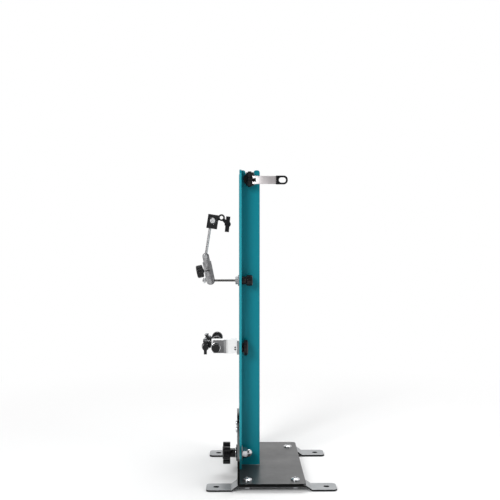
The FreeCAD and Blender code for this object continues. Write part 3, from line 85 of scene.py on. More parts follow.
def build_worn_edges():
    """Broken patches of wear on the rounded edges, which carry the attribute named edge."""
    group, given, result = group_of("worn_edges", {
        "Patches": ("NodeSocketFloat", 250.0),
        "Amount": ("NodeSocketFloat", 0.5)}, ["Worn"])
    place = node(group, "ShaderNodeTexCoord")
    edge = node(group, "ShaderNodeAttribute", attribute_name="edge")
    patches = node(group, "ShaderNodeTexNoise", {
        "Vector": place.outputs["Object"], "Scale": given.outputs["Patches"], "Detail": 4.0})
    start = node(group, "ShaderNodeMath", {
        0: 0.75, 1: given.outputs["Amount"]}, operation="SUBTRACT")
    stop = node(group, "ShaderNodeMath", {0: start.outputs[0], 1: 0.12}, operation="ADD")
    broken = node(group, "ShaderNodeMapRange", {
        "Value": patches.outputs["Fac"], "From Min": start.outputs[0], "From Max": stop.outputs[0]})
    worn = node(group, "ShaderNodeMath", {
        0: broken.outputs[0], 1: edge.outputs["Fac"]}, operation="MULTIPLY")
    group.links.new(worn.outputs[0], result.inputs["Worn"])
    return group


def build_handling():
    """Cloudy marks of dust and hands, and fine scratches that run along one direction."""
    group, given, result = group_of("handling", {
        "Cloud": ("NodeSocketFloat", 30.0),
        "Scratch Run": ("NodeSocketVector", (40.0, 900.0, 900.0)),
        "Scratches": ("NodeSocketFloat", 0.2)}, ["Marks", "Scratched"])
    place = node(group, "ShaderNodeTexCoord")
    cloud = node(group, "ShaderNodeTexNoise", {
        "Vector": place.outputs["Object"], "Scale": given.outputs["Cloud"],
        "Detail": 5.0, "Roughness": 0.62})
    marks = node(group, "ShaderNodeMapRange", {
        "Value": cloud.outputs["Fac"], "From Min": 0.38, "From Max": 0.68})
    run = node(group, "ShaderNodeVectorMath", {
        0: place.outputs["Object"], 1: given.outputs["Scratch Run"]}, operation="MULTIPLY")
    lines = node(group, "ShaderNodeTexNoise", {"Vector": run.outputs[0], "Scale": 1.0, "Detail": 2.0})
    thin = node(group, "ShaderNodeMapRange", {
        "Value": lines.outputs["Fac"], "From Min": 0.66, "From Max": 0.72})
    some = node(group, "ShaderNodeMath", {
        0: thin.outputs[0], 1: given.outputs["Scratches"]}, operation="MULTIPLY")
    group.links.new(marks.outputs[0], result.inputs["Marks"])
    group.links.new(some.outputs[0], result.inputs["Scratched"])
    return group


def build_grain():
    """Fine relief with its own density along X, Y and Z: even for a coat, drawn out for tool marks."""
    group, given, result = group_of("grain", {
        "Density": ("NodeSocketVector", (2500.0, 2500.0, 2500.0))}, ["Relief"])
    place = node(group, "ShaderNodeTexCoord")
    run = node(group, "ShaderNodeVectorMath", {
        0: place.outputs["Object"], 1: given.outputs["Density"]}, operation="MULTIPLY")
    relief = node(group, "ShaderNodeTexNoise", {"Vector": run.outputs[0], "Scale": 1.0, "Detail": 3.0})
    group.links.new(relief.outputs["Fac"], result.inputs["Relief"])
    return group


worn_edges = build_worn_edges()
handling = build_handling()
grain = build_grain()


def tint(tree, share, first, second):
    """Colour that goes from the first to the second as the share rises from 0 to 1."""
    mixer = node(tree, "ShaderNodeMix", {0: share, 6: first, 7: second}, data_type="RGBA")
    return mixer.outputs[2]


def between(tree, share, low, high):
    """Value that goes from low to high as the share rises from 0 to 1."""
    return node(tree, "ShaderNodeMapRange", {"Value": share, "To Min": low, "To Max": high}).outputs[0]


def coated(name, colour, fleck, roughness, shine, peel_density, peel_depth, wear,
           under=RUBBED_STEEL, under_is_metal=True):
    """Powder coat: specks, orange peel, light marks, and what lies under it showing at the edges."""
    material = bpy.data.materials.new(name)
    material.use_nodes = True
    tree = material.node_tree
    surface = tree.nodes["Principled BSDF"]
    surface.inputs["Specular IOR Level"].default_value = shine
    edges = node(tree, "ShaderNodeGroup", {"Patches": 320.0, "Amount": wear}, node_tree=worn_edges)
    hands = node(tree, "ShaderNodeGroup", {"Cloud": 22.0, "Scratches": 0.35}, node_tree=handling)
    peel = node(tree, "ShaderNodeGroup", {"Density": (peel_density,) * 3}, node_tree=grain)
    specks = node(tree, "ShaderNodeMapRange", {
        "Value": peel.outputs["Relief"], "From Min": 0.56, "From Max": 0.70})
    speckled = tint(tree, specks.outputs[0], colour, fleck)
    scratched = tint(tree, hands.outputs["Scratched"], speckled, fleck)
    tree.links.new(tint(tree, edges.outputs["Worn"], scratched, under), surface.inputs["Base Color"])
    if under_is_metal:
        tree.links.new(edges.outputs["Worn"], surface.inputs["Metallic"])
    handled = between(tree, hands.outputs["Marks"], roughness, roughness + 0.10)
    tree.links.new(handled, surface.inputs["Roughness"])
    relief = node(tree, "ShaderNodeBump", {
        "Height": peel.outputs["Relief"], "Strength": 0.5, "Distance": peel_depth})
    tree.links.new(relief.outputs[0], surface.inputs["Normal"])
    return material


def softened(name, width):
    """The CAD node's form with its sharp edges rounded, and the rounded faces marked as edge."""
    flat_within, sharp_over = math.radians(0.4), math.radians(32)
    form = bmesh.new()
    form.from_mesh(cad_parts[name].data)
    bmesh.ops.remove_doubles(form, verts=form.verts, dist=MERGE)
    bmesh.ops.dissolve_limit(form, angle_limit=flat_within, verts=form.verts, edges=form.edges)
    sharp = [edge for edge in form.edges if edge.is_manifold and edge.calc_face_angle() > sharp_over]
    marks = form.faces.layers.float.new("edge")
    made = bmesh.ops.bevel(form, geom=sharp, offset=width, offset_type="OFFSET", segments=2,
                           profile=0.5, affect="EDGES", clamp_overlap=True)
    for face in made["faces"]:
        face[marks] = 1.0
    return form


def piece(form, name, body, material, slot, *nodes):
    """Makes a form a piece of the stand: it rides on its body and stands for its CAD nodes."""
    mesh = bpy.data.meshes.new(name)
    form.to_mesh(mesh)
    form.free()
    mesh.shade_smooth()
    mesh.set_sharp_from_angle(angle=math.radians(28))
    mesh.materials.append(material)
    made = bpy.data.objects.new(name, mesh)
    bpy.context.collection.objects.link(made)
    flat = made.modifiers.new("large_faces_stay_flat", "WEIGHTED_NORMAL")
    flat.keep_sharp = True
    flat.weight = 90
    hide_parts(*nodes)
    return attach(made, body)


black_coat = coated("black_powder_coat", BLACK_COAT, BLACK_COAT_FLECK, roughness=0.33, shine=0.8,
                    peel_density=2600.0, peel_depth=0.05 * MM, wear=0.28)
coat_tree = black_coat.node_tree
coat_surface = coat_tree.nodes["Principled BSDF"]
coat_surface.inputs["Sheen Weight"].default_value = 0.05
# The plate's front-facing faces are painted near black and made a dark mirror: a painted dark reflection, not
# a colour of the coat.
painted_front_dark = node(coat_tree, "ShaderNodeAttribute", attribute_name="painted_front_dark").outputs["Fac"]
coat_colour = coat_surface.inputs["Base Color"].links[0].from_socket
coat_metal = coat_surface.inputs["Metallic"].links[0].from_socket
coat_tree.links.new(tint(coat_tree, painted_front_dark, coat_colour, PAINTED_FRONT_BLACK), coat_surface.inputs["Base Color"])
coat_tree.links.new(between(coat_tree, painted_front_dark, coat_metal, 1.0), coat_surface.inputs["Metallic"])
sheet = softened("base_plate", PLATE_EDGE)
# Marks the front-facing faces that carry the painted dark reflection.
painted_front_marks = sheet.faces.layers.float.new("painted_front_dark")
for face in sheet.faces:
    face[painted_front_marks] = float(face.normal.y < FACING_FRONT)
piece(sheet, "base_plate_coated", "base", black_coat, "black_powder_coat", "base_plate")

# ---------------------------------------------------------------- foot strips
# Two flat steel strips under the plate, pressed up in the middle so that nuts fit beneath.
# Bright zinc plated, with the mill's lines running along them; their sheared upright sides are painted dark
# as a painted dark reflection.

STRIP_EDGE = 0.4 * MM
STANDS_UPRIGHT = 0.3
ZINC = (0.46, 0.47, 0.48, 1)
ZINC_DULL = (0.27, 0.28, 0.29, 1)
# Near black: the real colour of blackened steel parts, and painted shade where faces of bright pieces are
# marked dark.
BLACK_AND_PAINTED_SHADE = (0.008, 0.008, 0.009, 1)


def brushed(name, bright, dull, roughness, lines, relief_depth=0.01 * MM, scratches=0.4, cloud=45.0):
    """Bare or plated metal whose tool marks run across the direction that the lines are dense in."""
    material = bpy.data.materials.new(name)
    material.use_nodes = True
    tree = material.node_tree
    surface = tree.nodes["Principled BSDF"]
    surface.inputs["Metallic"].default_value = 1.0
    hands = node(tree, "ShaderNodeGroup", {"Cloud": cloud, "Scratches": scratches}, node_tree=handling)
    edges = node(tree, "ShaderNodeGroup", {"Patches": 500.0, "Amount": 0.3}, node_tree=worn_edges)
    marks = node(tree, "ShaderNodeGroup", {"Density": lines}, node_tree=grain)
    streaks = tint(tree, marks.outputs["Relief"], dull, bright)
    clouded = tint(tree, between(tree, hands.outputs["Marks"], 0.0, 0.35), streaks, dull)
    rubbed = tint(tree, edges.outputs["Worn"], clouded, bright)
    tree.links.new(tint(tree, hands.outputs["Scratched"], rubbed, bright), surface.inputs["Base Color"])
    handled = between(tree, hands.outputs["Marks"], roughness, roughness + 0.14)
    tree.links.new(handled, surface.inputs["Roughness"])
    relief = node(tree, "ShaderNodeBump", {
        "Height": marks.outputs["Relief"], "Strength": 0.4, "Distance": relief_depth})
    tree.links.new(relief.outputs[0], surface.inputs["Normal"])
    return material


def darkened(material, colour):
    """Lets the faces marked as dark show another colour: black steel on some pieces, painted shade on others.
    """
    tree = material.node_tree
    surface = tree.nodes["Principled BSDF"]
    dark = node(tree, "ShaderNodeAttribute", attribute_name="dark")
    surface.inputs["Specular IOR Level"].default_value = 0.12
    plain = surface.inputs["Base Color"].links[0].from_socket
    tree.links.new(tint(tree, dark.outputs["Fac"], plain, colour), surface.inputs["Base Color"])
    tree.links.new(between(tree, dark.outputs["Fac"], 1.0, 0.0), surface.inputs["Metallic"])
    return material


def marked(form, is_dark):
    """Marks the faces of a form as dark, by the share that a test gives each."""
    marks = form.faces.layers.float.new("dark")
    for face in form.faces:
        face[marks] = float(is_dark(face))
    return form


def is_sheared(face):
    """Whether a face of a strip is one of its upright, sheared sides, which are painted dark as a painted
    dark reflection.
    """
    return abs(face.normal.z) < STANDS_UPRIGHT


zinc = darkened(brushed("zinc_strip", ZINC, ZINC_DULL, roughness=0.44, lines=(90.0, 3500.0, 3500.0)), BLACK_AND_PAINTED_SHADE)
for strip in ("front_foot_strip", "rear_foot_strip"):
    form = marked(softened(strip, STRIP_EDGE), is_sheared)
    piece(form, f"{strip}_plated", "base", zinc, "zinc_steel", strip)

# ---------------------------------------------------------------- base bolts and nuts
# Four button head screws through plate and strips, with plain nuts under the strips.
# Steel, cold headed with a hexagon socket, and bright plated.

SIDES = 48
BASE_HEAD_RADIUS = 6.5 * MM
BASE_HEAD_RISE = 3.4 * MM
BASE_SHANK_RADIUS = 2.9 * MM
BASE_SOCKET_ACROSS = 4.0 * MM
BASE_SOCKET_DEPTH = 1.9 * MM
NUT_EDGE = 0.25 * MM
BRIGHT = (0.80, 0.81, 0.82, 1)
BRIGHT_DULL = (0.40, 0.41, 0.43, 1)


def ring(radius, height, flats=0):
    """One loop round Z: a circle, or a polygon whose flats lie at the radius."""
    points = []
    for step in range(SIDES):
        angle = math.tau * step / SIDES
        reach = radius
        if flats:
            part = math.tau / flats
            reach = radius / math.cos((angle + part / 2) % part - part / 2)
        points.append((reach * math.cos(angle), reach * math.sin(angle), height))
    return points


def skinned(rings):
    """A closed form over loops of as many points each."""
    form = bmesh.new()
    loops = [[form.verts.new(point) for point in points] for points in rings]
    for lower, upper in zip(loops, loops[1:]):
        for index, corner in enumerate(lower):
            after = (index + 1) % len(lower)
            form.faces.new((corner, lower[after], upper[after], upper[index]))
    form.faces.new(loops[0])
    form.faces.new(loops[-1])
    bmesh.ops.recalc_face_normals(form, faces=form.faces)
    return form


def button_screw(head, rise, shank, reach, socket, depth):
    """Domed screw with its seat at Z 0: head above, shank below, hexagon socket in the dome."""
    dome = [ring(head * math.cos(turn), rise * (0.25 + 0.75 * math.sin(turn)))
            for turn in (math.radians(degrees) for degrees in (0, 18, 34, 48, 60))]
    top = rise * 0.99
    return skinned([ring(shank, -reach), ring(shank, 0), ring(head, 0), *dome, ring(socket * 0.62, top),
                    ring(socket / 2, top - 0.15 * MM, 6), ring(socket / 2, top - depth, 6),
                    ring(socket * 0.1, top - depth * 1.15, 6)])


def turned_to(form, spot, axis=(0, 0, 1)):
    """Moves a form made round Z at the origin to a spot, along an axis."""
    turn = Vector((0, 0, 1)).rotation_difference(Vector(axis)).to_matrix().to_4x4()
    bmesh.ops.transform(form, matrix=Matrix.Translation(Vector(spot)) @ turn, verts=form.verts)
    return form


def build_row():
    """Geometry nodes that set copies of a fastener in a row."""
    tree = bpy.data.node_groups.new("fasteners_in_a_row", "GeometryNodeTree")
    sockets = tree.interface
    sockets.new_socket("Fastener", in_out="INPUT", socket_type="NodeSocketGeometry")
    sockets.new_socket("Count", in_out="INPUT", socket_type="NodeSocketInt")
    sockets.new_socket("Pitch", in_out="INPUT", socket_type="NodeSocketVector")
    sockets.new_socket("Finish", in_out="INPUT", socket_type="NodeSocketMaterial")
    sockets.new_socket("Row", in_out="OUTPUT", socket_type="NodeSocketGeometry")
    given, result = tree.nodes.new("NodeGroupInput"), tree.nodes.new("NodeGroupOutput")
    spots = node(tree, "GeometryNodeMeshLine", {
        "Count": given.outputs["Count"], "Offset": given.outputs["Pitch"]})
    copies = node(tree, "GeometryNodeInstanceOnPoints", {
        "Points": spots.outputs["Mesh"], "Instance": given.outputs["Fastener"]})
    real = node(tree, "GeometryNodeRealizeInstances", {"Geometry": copies.outputs["Instances"]})
    finished = node(tree, "GeometryNodeSetMaterial", {
        "Geometry": real.outputs["Geometry"], "Material": given.outputs["Finish"]})
    tree.links.new(finished.outputs["Geometry"], result.inputs["Row"])
    return tree


fasteners_in_a_row = build_row()


def grown(form, tree, **inputs):
    """The form after a geometry node tree has worked on it, with the tree's inputs given by name."""
    mesh = bpy.data.meshes.new("blank")
    form.to_mesh(mesh)
    form.free()
    blank = bpy.data.objects.new("blank", mesh)
    bpy.context.collection.objects.link(blank)
    modifier = blank.modifiers.new("grow", "NODES")
    modifier.node_group = tree
    sockets = {item.name: item.identifier for item in tree.interface.items_tree if item.in_out == "INPUT"}
    for label, value in inputs.items():
        modifier[sockets[label]] = value
    depsgraph = bpy.context.evaluated_depsgraph_get()
    made = bpy.data.meshes.new_from_object(blank.evaluated_get(depsgraph), depsgraph=depsgraph)
    result = bmesh.new()
    result.from_mesh(made)
    bpy.data.objects.remove(blank)
    bpy.data.meshes.remove(made)
    return result


plated = brushed("plated_hardware", BRIGHT, BRIGHT_DULL, roughness=0.10, lines=(700.0, 700.0, 700.0),
                 relief_depth=0.004 * MM, scratches=0.3, cloud=90.0)
heads_low, heads_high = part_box("base_bolts")
bolt_seat = heads_high.z - BASE_HEAD_RISE
bolt = button_screw(BASE_HEAD_RADIUS, heads_high.z - bolt_seat, BASE_SHANK_RADIUS, bolt_seat - heads_low.z,
                    BASE_SOCKET_ACROSS, BASE_SOCKET_DEPTH)
turned_to(bolt, (heads_low.x + BASE_HEAD_RADIUS, heads_low.y + BASE_HEAD_RADIUS, bolt_seat))
bolt_span = heads_high - heads_low - Vector((BASE_HEAD_RADIUS, BASE_HEAD_RADIUS, 0)) * 2
row = grown(bolt, fasteners_in_a_row, Count=2, Pitch=(bolt_span.x, 0, 0), Finish=plated)
both = grown(row, fasteners_in_a_row, Count=2, Pitch=(0, bolt_span.y, 0), Finish=plated)
piece(both, "base_button_screws", "base", plated, "chrome_hardware", "base_bolts")
piece(softened("base_nuts", NUT_EDGE), "base_nuts_plated", "base", plated, "chrome_hardware", "base_nuts")

# ---------------------------------------------------------------- uprights
# Two folded steel angles with open axle slots; the near one has gauge slots in its leg.
# Teal powder coat, smooth and satin, paler where it is rubbed along the edges; the legs' toes are painted
# paler all over as a painted highlight.

TEAL = (0.001, 0.175, 0.222, 1)
TEAL_FLECK = (0.004, 0.200, 0.250, 1)
# Paler teal for edge wear, also painted over the legs' toes as a painted highlight.
TEAL_RUBBED_AND_HIGHLIT = (0.016, 0.262, 0.315, 1)
UPRIGHT_EDGE = 0.8 * MM
TOE_WITHIN = 0.2 * MM

teal_coat = coated("teal_powder_coat", TEAL, TEAL_FLECK, roughness=0.30, shine=0.15, peel_density=2200.0,
                   peel_depth=0.03 * MM, wear=0.56, under=TEAL_RUBBED_AND_HIGHLIT, under_is_metal=False)
for upright, body, outermost in (("far_upright", "base", max), ("near_upright", "near_upright", min)):
    angle = softened(upright, UPRIGHT_EDGE)
    # Each leg's toe face is marked like a worn edge so it shows the paler teal: a painted highlight.
    toe = outermost(vert.co.y for vert in angle.verts)
    edge_marks = angle.faces.layers.float["edge"]
    for face in angle.faces:
        if abs(face.calc_center_median().y - toe) < TOE_WITHIN:
            face[edge_marks] = 1.0
    piece(angle, f"{upright}_coated", body, teal_coat, "teal_powder_coat", upright)

# ---------------------------------------------------------------- bolts of the far upright
# Two button head screws through the ear and the angle's leg, with nuts inside the angle.
# Bright plated steel.

EAR_SHANK_RADIUS = 2.9 * MM
EAR_SOCKET_ACROSS = 3.2 * MM
EAR_SOCKET_DEPTH = 1.5 * MM

plate_low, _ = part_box("base_plate")
far_low, far_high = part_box("far_upright_bolts")
far_head_radius = (far_high.y - far_low.y) / 2
far_seat = plate_low.x
screw = button_screw(far_head_radius, far_seat - far_low.x, EAR_SHANK_RADIUS, far_high.x - far_seat,
                     EAR_SOCKET_ACROSS, EAR_SOCKET_DEPTH)
turned_to(screw, (far_seat, (far_low.y + far_high.y) / 2, far_low.z + far_head_radius), (-1, 0, 0))
far_pitch = far_high.z - far_low.z - far_head_radius * 2
pair = grown(screw, fasteners_in_a_row, Count=2, Pitch=(0, 0, far_pitch), Finish=plated)
piece(pair, "ear_screws", "base", plated, "chrome_hardware", "far_upright_bolts")
piece(softened("far_upright_nuts", NUT_EDGE), "ear_nuts_plated", "base", plated, "chrome_hardware",
      "far_upright_nuts")

# ---------------------------------------------------------------- clamp of the near upright
# Stud, washers and domed nut that clamp the near angle to the flange.
# Plated steel, with a plain black disc against the flange.

MOULDED_BLACK = (0.005, 0.005, 0.006, 1)
MOULDED_RUBBED = (0.030, 0.030, 0.032, 1)
TURNED = (0.66, 0.66, 0.67, 1)
TURNED_DULL = (0.42, 0.42, 0.43, 1)
STUD_EDGE = 0.3 * MM
WASHER_EDGE = 0.22 * MM
DISC_EDGE = 0.25 * MM


def moulded(name, colour, rubbed, roughness):
    """Moulded nylon: fine spark-eroded grain, with shiny paler edges where fingers rub."""
    material = bpy.data.materials.new(name)
    material.use_nodes = True
    tree = material.node_tree
    surface = tree.nodes["Principled BSDF"]
    surface.inputs["Specular IOR Level"].default_value = 0.3
    edges = node(tree, "ShaderNodeGroup", {"Patches": 200.0, "Amount": 0.38}, node_tree=worn_edges)
    hands = node(tree, "ShaderNodeGroup", {"Cloud": 60.0, "Scratches": 0.25}, node_tree=handling)
    skin = node(tree, "ShaderNodeGroup", {"Density": (1800.0, 1800.0, 1800.0)}, node_tree=grain)
    scuffed = tint(tree, hands.outputs["Scratched"], colour, rubbed)
    tree.links.new(tint(tree, edges.outputs["Worn"], scuffed, rubbed), surface.inputs["Base Color"])
    handled = between(tree, hands.outputs["Marks"], roughness, roughness + 0.16)
    tree.links.new(handled, surface.inputs["Roughness"])
    relief = node(tree, "ShaderNodeBump", {
        "Height": skin.outputs["Relief"], "Strength": 0.45, "Distance": 0.04 * MM})
    tree.links.new(relief.outputs[0], surface.inputs["Normal"])
    return material


black_nylon = moulded("black_nylon", MOULDED_BLACK, MOULDED_RUBBED, roughness=0.17)
turned_steel = darkened(brushed("turned_steel", TURNED, TURNED_DULL, roughness=0.24,
                                lines=(4000.0, 60.0, 60.0)), BLACK_AND_PAINTED_SHADE)
piece(softened("clamp_stud", STUD_EDGE), "clamp_stud_turned", "near_upright", turned_steel, "bright_steel",
      "clamp_stud")
piece(softened("clamp_disc_washer", DISC_EDGE), "clamp_disc_moulded", "near_upright", black_nylon,
      "black_plastic", "clamp_disc_washer")
for part, finish in (("clamp_knob_washer", plated), ("clamp_nut_washer", zinc), ("clamp_acorn_nut", plated)):
    piece(softened(part, WASHER_EDGE), f"{part}_plated", "near_upright", finish, "chrome_hardware", part)

# ---------------------------------------------------------------- star knob
# Seven-lobed hand knob with a round neck, moulded in black nylon over the clamp's stud.
# A low rim round a shallow dish is moulded on its outer face.

STAR_EDGE = 0.35 * MM
DISH_SUNK = 0.02 * MM

star_low, star_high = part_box("star_knob")
star = softened("star_knob", STAR_EDGE)
star_middle = (star_low + star_high) / 2
dish_profile = ((9.2, 0.0), (9.2, 0.35), (8.6, 0.6), (7.9, 0.6), (7.4, 0.15), (2.0, 0.05))
dish = skinned([ring(radius * MM, rise * MM) for radius, rise in dish_profile])
turned_to(dish, (star_low.x + DISH_SUNK, star_middle.y, star_middle.z), (-1, 0, 0))


def joined(form, *others):
    """Adds other forms to a form, as one piece."""
    for other in others:
        mesh = bpy.data.meshes.new("joining")
        other.to_mesh(mesh)
        other.free()
        form.from_mesh(mesh)
        bpy.data.meshes.remove(mesh)
    return form


piece(joined(star, dish), "star_knob_moulded", "star_knob", black_nylon, "black_plastic", "star_knob")

# ---------------------------------------------------------------- quick release skewer
# Cap, rod and cam lever that hold an axle in the slots; the lever swings on a cross pin.
# Forged aluminium lever on a black cam barrel, black finger loop, cap and thumb nut, steel rod.

LEVER_ALLOY = (0.86, 0.82, 0.83, 1)
LEVER_DULL = (0.66, 0.62, 0.63, 1)
OXIDE = (0.006, 0.006, 0.007, 1)
OXIDE_FLECK = (0.020, 0.020, 0.022, 1)
CAM_BLACK = (0.010, 0.010, 0.011, 1)
CAM_REACH = 5.2 * MM
BLADE_HALF = 5.9 * MM
EYE_REACH = 8.8 * MM
CAP_EDGE = 0.3 * MM
LEVER_EDGE = 0.45 * MM
TIP_EDGE = 0.5 * MM
PIN_EDGE = 0.25 * MM
ROD_EDGE = 0.3 * MM
THUMB_NUT_EDGE = 0.35 * MM
THREAD_PAST_NUT = 6 * MM
THREAD_START_RADIUS = 2.45 * MM
THREAD_START = 0.1 * MM
ROD_CHAMFER = 0.4 * MM

lever_alloy = darkened(brushed("polished_lever", LEVER_ALLOY, LEVER_DULL, roughness=0.34,
                               lines=(120.0, 2500.0, 2500.0), relief_depth=0.006 * MM, scratches=0.1),
                       CAM_BLACK)
black_oxide = coated("black_oxide", OXIDE, OXIDE_FLECK, roughness=0.30, shine=0.3, peel_density=3000.0,
                     peel_depth=0.01 * MM, wear=0.22)
piece(softened("skewer_cap", CAP_EDGE), "skewer_cap_blacked", "near_upright", black_oxide, "black_steel",
      "skewer_cap")
nut_low, nut_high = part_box("skewer_nut")
axle = Vector(((nut_low.x + nut_high.x) / 2, 0, (nut_low.z + nut_high.z) / 2))
lever_low, lever_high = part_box("lever_arm")
lever_height = (lever_low.z + lever_high.z) / 2


def on_barrel(face):
    """Whether a face of the lever belongs to its black cam barrel."""
    middle = face.calc_center_median()
    return middle.x < axle.x + CAM_REACH or abs(middle.z - lever_height) > BLADE_HALF


lever = marked(softened("lever_arm", LEVER_EDGE), on_barrel)
piece(lever, "lever_arm_polished", "lever", lever_alloy, "lever_alloy", "lever_arm")
piece(softened("lever_tip", TIP_EDGE), "lever_tip_moulded", "lever", black_nylon, "black_plastic",
      "lever_tip")
lever_pin = marked(softened("lever_pin", PIN_EDGE), lambda face: True)
piece(lever_pin, "lever_pin_turned", "lever", turned_steel, "bright_steel", "lever_pin")


def build_thread():
    """Geometry nodes that wind a screw thread round Z on top of a given core."""
    tree = bpy.data.node_groups.new("screw_thread", "GeometryNodeTree")
    sockets = tree.interface
    sockets.new_socket("Core", in_out="INPUT", socket_type="NodeSocketGeometry")
    for label in ("Radius", "Pitch", "Depth", "Length"):
        sockets.new_socket(label, in_out="INPUT", socket_type="NodeSocketFloat")
    sockets.new_socket("Finish", in_out="INPUT", socket_type="NodeSocketMaterial")
    sockets.new_socket("Screw", in_out="OUTPUT", socket_type="NodeSocketGeometry")
    given, result = tree.nodes.new("NodeGroupInput"), tree.nodes.new("NodeGroupOutput")
    turns = node(tree, "ShaderNodeMath", {
        0: given.outputs["Length"], 1: given.outputs["Pitch"]}, operation="DIVIDE")
    helix = node(tree, "GeometryNodeCurveSpiral", {
        "Resolution": 20, "Rotations": turns.outputs[0], "Start Radius": given.outputs["Radius"],
        "End Radius": given.outputs["Radius"], "Height": given.outputs["Length"]})
    upright = node(tree, "GeometryNodeSetCurveNormal", {"Curve": helix.outputs["Curve"]}, mode="Z_UP")
    wide = node(tree, "ShaderNodeMath", {0: given.outputs["Pitch"], 1: 0.42}, operation="MULTIPLY")
    sizes = node(tree, "ShaderNodeCombineXYZ", {0: given.outputs["Depth"], 1: wide.outputs[0], 2: 1.0})
    outline = node(tree, "GeometryNodeCurvePrimitiveCircle", {"Resolution": 4, "Radius": 1.0})
    flank = node(tree, "GeometryNodeTransform", {
        "Geometry": outline.outputs["Curve"], "Scale": sizes.outputs[0]})
    ridge = node(tree, "GeometryNodeCurveToMesh", {
        "Curve": upright.outputs["Curve"], "Profile Curve": flank.outputs["Geometry"], "Fill Caps": True})
    whole = node(tree, "GeometryNodeJoinGeometry")
    tree.links.new(ridge.outputs["Mesh"], whole.inputs["Geometry"])
    tree.links.new(given.outputs["Core"], whole.inputs["Geometry"])
    real = node(tree, "GeometryNodeRealizeInstances", {"Geometry": whole.outputs["Geometry"]})
    finished = node(tree, "GeometryNodeSetMaterial", {
        "Geometry": real.outputs["Geometry"], "Material": given.outputs["Finish"]})
    tree.links.new(finished.outputs["Geometry"], result.inputs["Screw"])
    return tree


screw_thread = build_thread()


def build_round():
    """Geometry nodes that repeat a rib round Z."""
    tree = bpy.data.node_groups.new("ribs_round_a_knob", "GeometryNodeTree")
    sockets = tree.interface
    sockets.new_socket("Rib", in_out="INPUT", socket_type="NodeSocketGeometry")
    sockets.new_socket("Count", in_out="INPUT", socket_type="NodeSocketInt")
    sockets.new_socket("Finish", in_out="INPUT", socket_type="NodeSocketMaterial")
    sockets.new_socket("Ribs", in_out="OUTPUT", socket_type="NodeSocketGeometry")
    given, result = tree.nodes.new("NodeGroupInput"), tree.nodes.new("NodeGroupOutput")
    spots = node(tree, "GeometryNodePoints", {"Count": given.outputs["Count"]})
    number = node(tree, "GeometryNodeInputIndex")
    share = node(tree, "ShaderNodeMath", {
        0: number.outputs[0], 1: given.outputs["Count"]}, operation="DIVIDE")
    turn = node(tree, "ShaderNodeMath", {0: share.outputs[0], 1: math.tau}, operation="MULTIPLY")
    angles = node(tree, "ShaderNodeCombineXYZ", {2: turn.outputs[0]})
    copies = node(tree, "GeometryNodeInstanceOnPoints", {
        "Points": spots.outputs[0], "Instance": given.outputs["Rib"], "Rotation": angles.outputs[0]})
    real = node(tree, "GeometryNodeRealizeInstances", {"Geometry": copies.outputs["Instances"]})
    finished = node(tree, "GeometryNodeSetMaterial", {
        "Geometry": real.outputs["Geometry"], "Material": given.outputs["Finish"]})
    tree.links.new(finished.outputs["Geometry"], result.inputs["Ribs"])
    return tree


ribs_round_a_knob = build_round()


def rib(radius, start, end, width, proud):
    """One rounded grip rib that lies along Z at a radius, sunk into the knob it stands on."""
    root, shoulder, crest = radius - proud, radius + proud * 0.6, radius + proud
    outline = [(root, -width / 2), (shoulder, -width / 2), (crest, -width / 4),
               (crest, width / 4), (shoulder, width / 2), (root, width / 2)]
    return skinned([[(x, y, height) for x, y in outline] for height in (start, end)])


def ribbed(knob, spot, axis, finish, count, radius, start, end, width, proud):
    """Adds grip ribs to a knob that stands at a spot along an axis."""
    ribs = grown(rib(radius, start, end, width, proud), ribs_round_a_knob, Count=count, Finish=finish)
    return joined(knob, turned_to(ribs, spot, axis))


def on_eye(face):
    """Whether a face of the rod belongs to the eye that the lever's cross pin goes through."""
    return face.calc_center_median().y < rod_low.y + EYE_REACH


rod_low, rod_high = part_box("skewer_rod")
thread_length = rod_high.y - nut_low.y + THREAD_PAST_NUT
core = skinned([ring(THREAD_START_RADIUS, 0), ring(THREAD_START_RADIUS, THREAD_START)])
thread = grown(core, screw_thread, Radius=2.3 * MM, Pitch=0.8 * MM, Depth=0.35 * MM, Length=thread_length,
               Finish=turned_steel)
turned_to(thread, (axle.x, rod_high.y - thread_length - ROD_CHAMFER, axle.z), (0, 1, 0))
draw_rod = marked(softened("skewer_rod", ROD_EDGE), on_eye)
piece(joined(draw_rod, thread), "skewer_rod_turned", "skewer", turned_steel, "bright_steel", "skewer_rod")
thumb_nut = ribbed(softened("skewer_nut", THUMB_NUT_EDGE), (axle.x, nut_low.y, axle.z), (0, 1, 0),
                   black_oxide, count=18, radius=7.9 * MM, start=0.5 * MM, end=3.4 * MM, width=1.2 * MM,
                   proud=0.35 * MM)
piece(thumb_nut, "skewer_nut_blacked", "base", black_oxide, "black_steel", "skewer_nut")

# ---------------------------------------------------------------- rim gauge carriage
# Milled aluminium bar with a split clamp, on a serrated steel plate that grips the leg.
# Two small black screws sit in its front; a ribbed knob of dark nylon inside the angle draws it tight.

KNOB_WINE = (0.004, 0.002, 0.003, 1)
KNOB_WINE_RUBBED = (0.009, 0.005, 0.007, 1)
TOOTH_PITCH = 1.6 * MM
TOOTH_WIDTH = TOOTH_PITCH * 0.36
TOOTH_PROUD = 0.3 * MM
TOOTH_DEPTH = 0.5 * MM
TOOTH_CREST_INSET = 0.35 * MM
TOOTH_ROOT_INSET = 0.05 * MM
TEETH_INSET = 0.5 * MM
GAUGE_PLATE_EDGE = 0.3 * MM
MILLED_DEPTH = 0.008 * MM
SAWN = (1.0, 1.0, 1.0, 1)
SAWN_DULL = (0.94, 0.95, 0.96, 1)
# Grey painted on the clamp's front and fading onto the bar beside it: painted shade.
CLAMP_PAINTED_SHADE = (0.15, 0.15, 0.155, 1)
CLAMP_FROM = 2.6 * MM
CLAMP_REACH = 18 * MM
SHADE_REACH = 21.5 * MM
SHADE_FADE = 24 * MM
BLOCK_EDGE = 1.1 * MM
PLATE_SCREW_EDGE = 0.2 * MM
KNOB_EDGE = 0.3 * MM

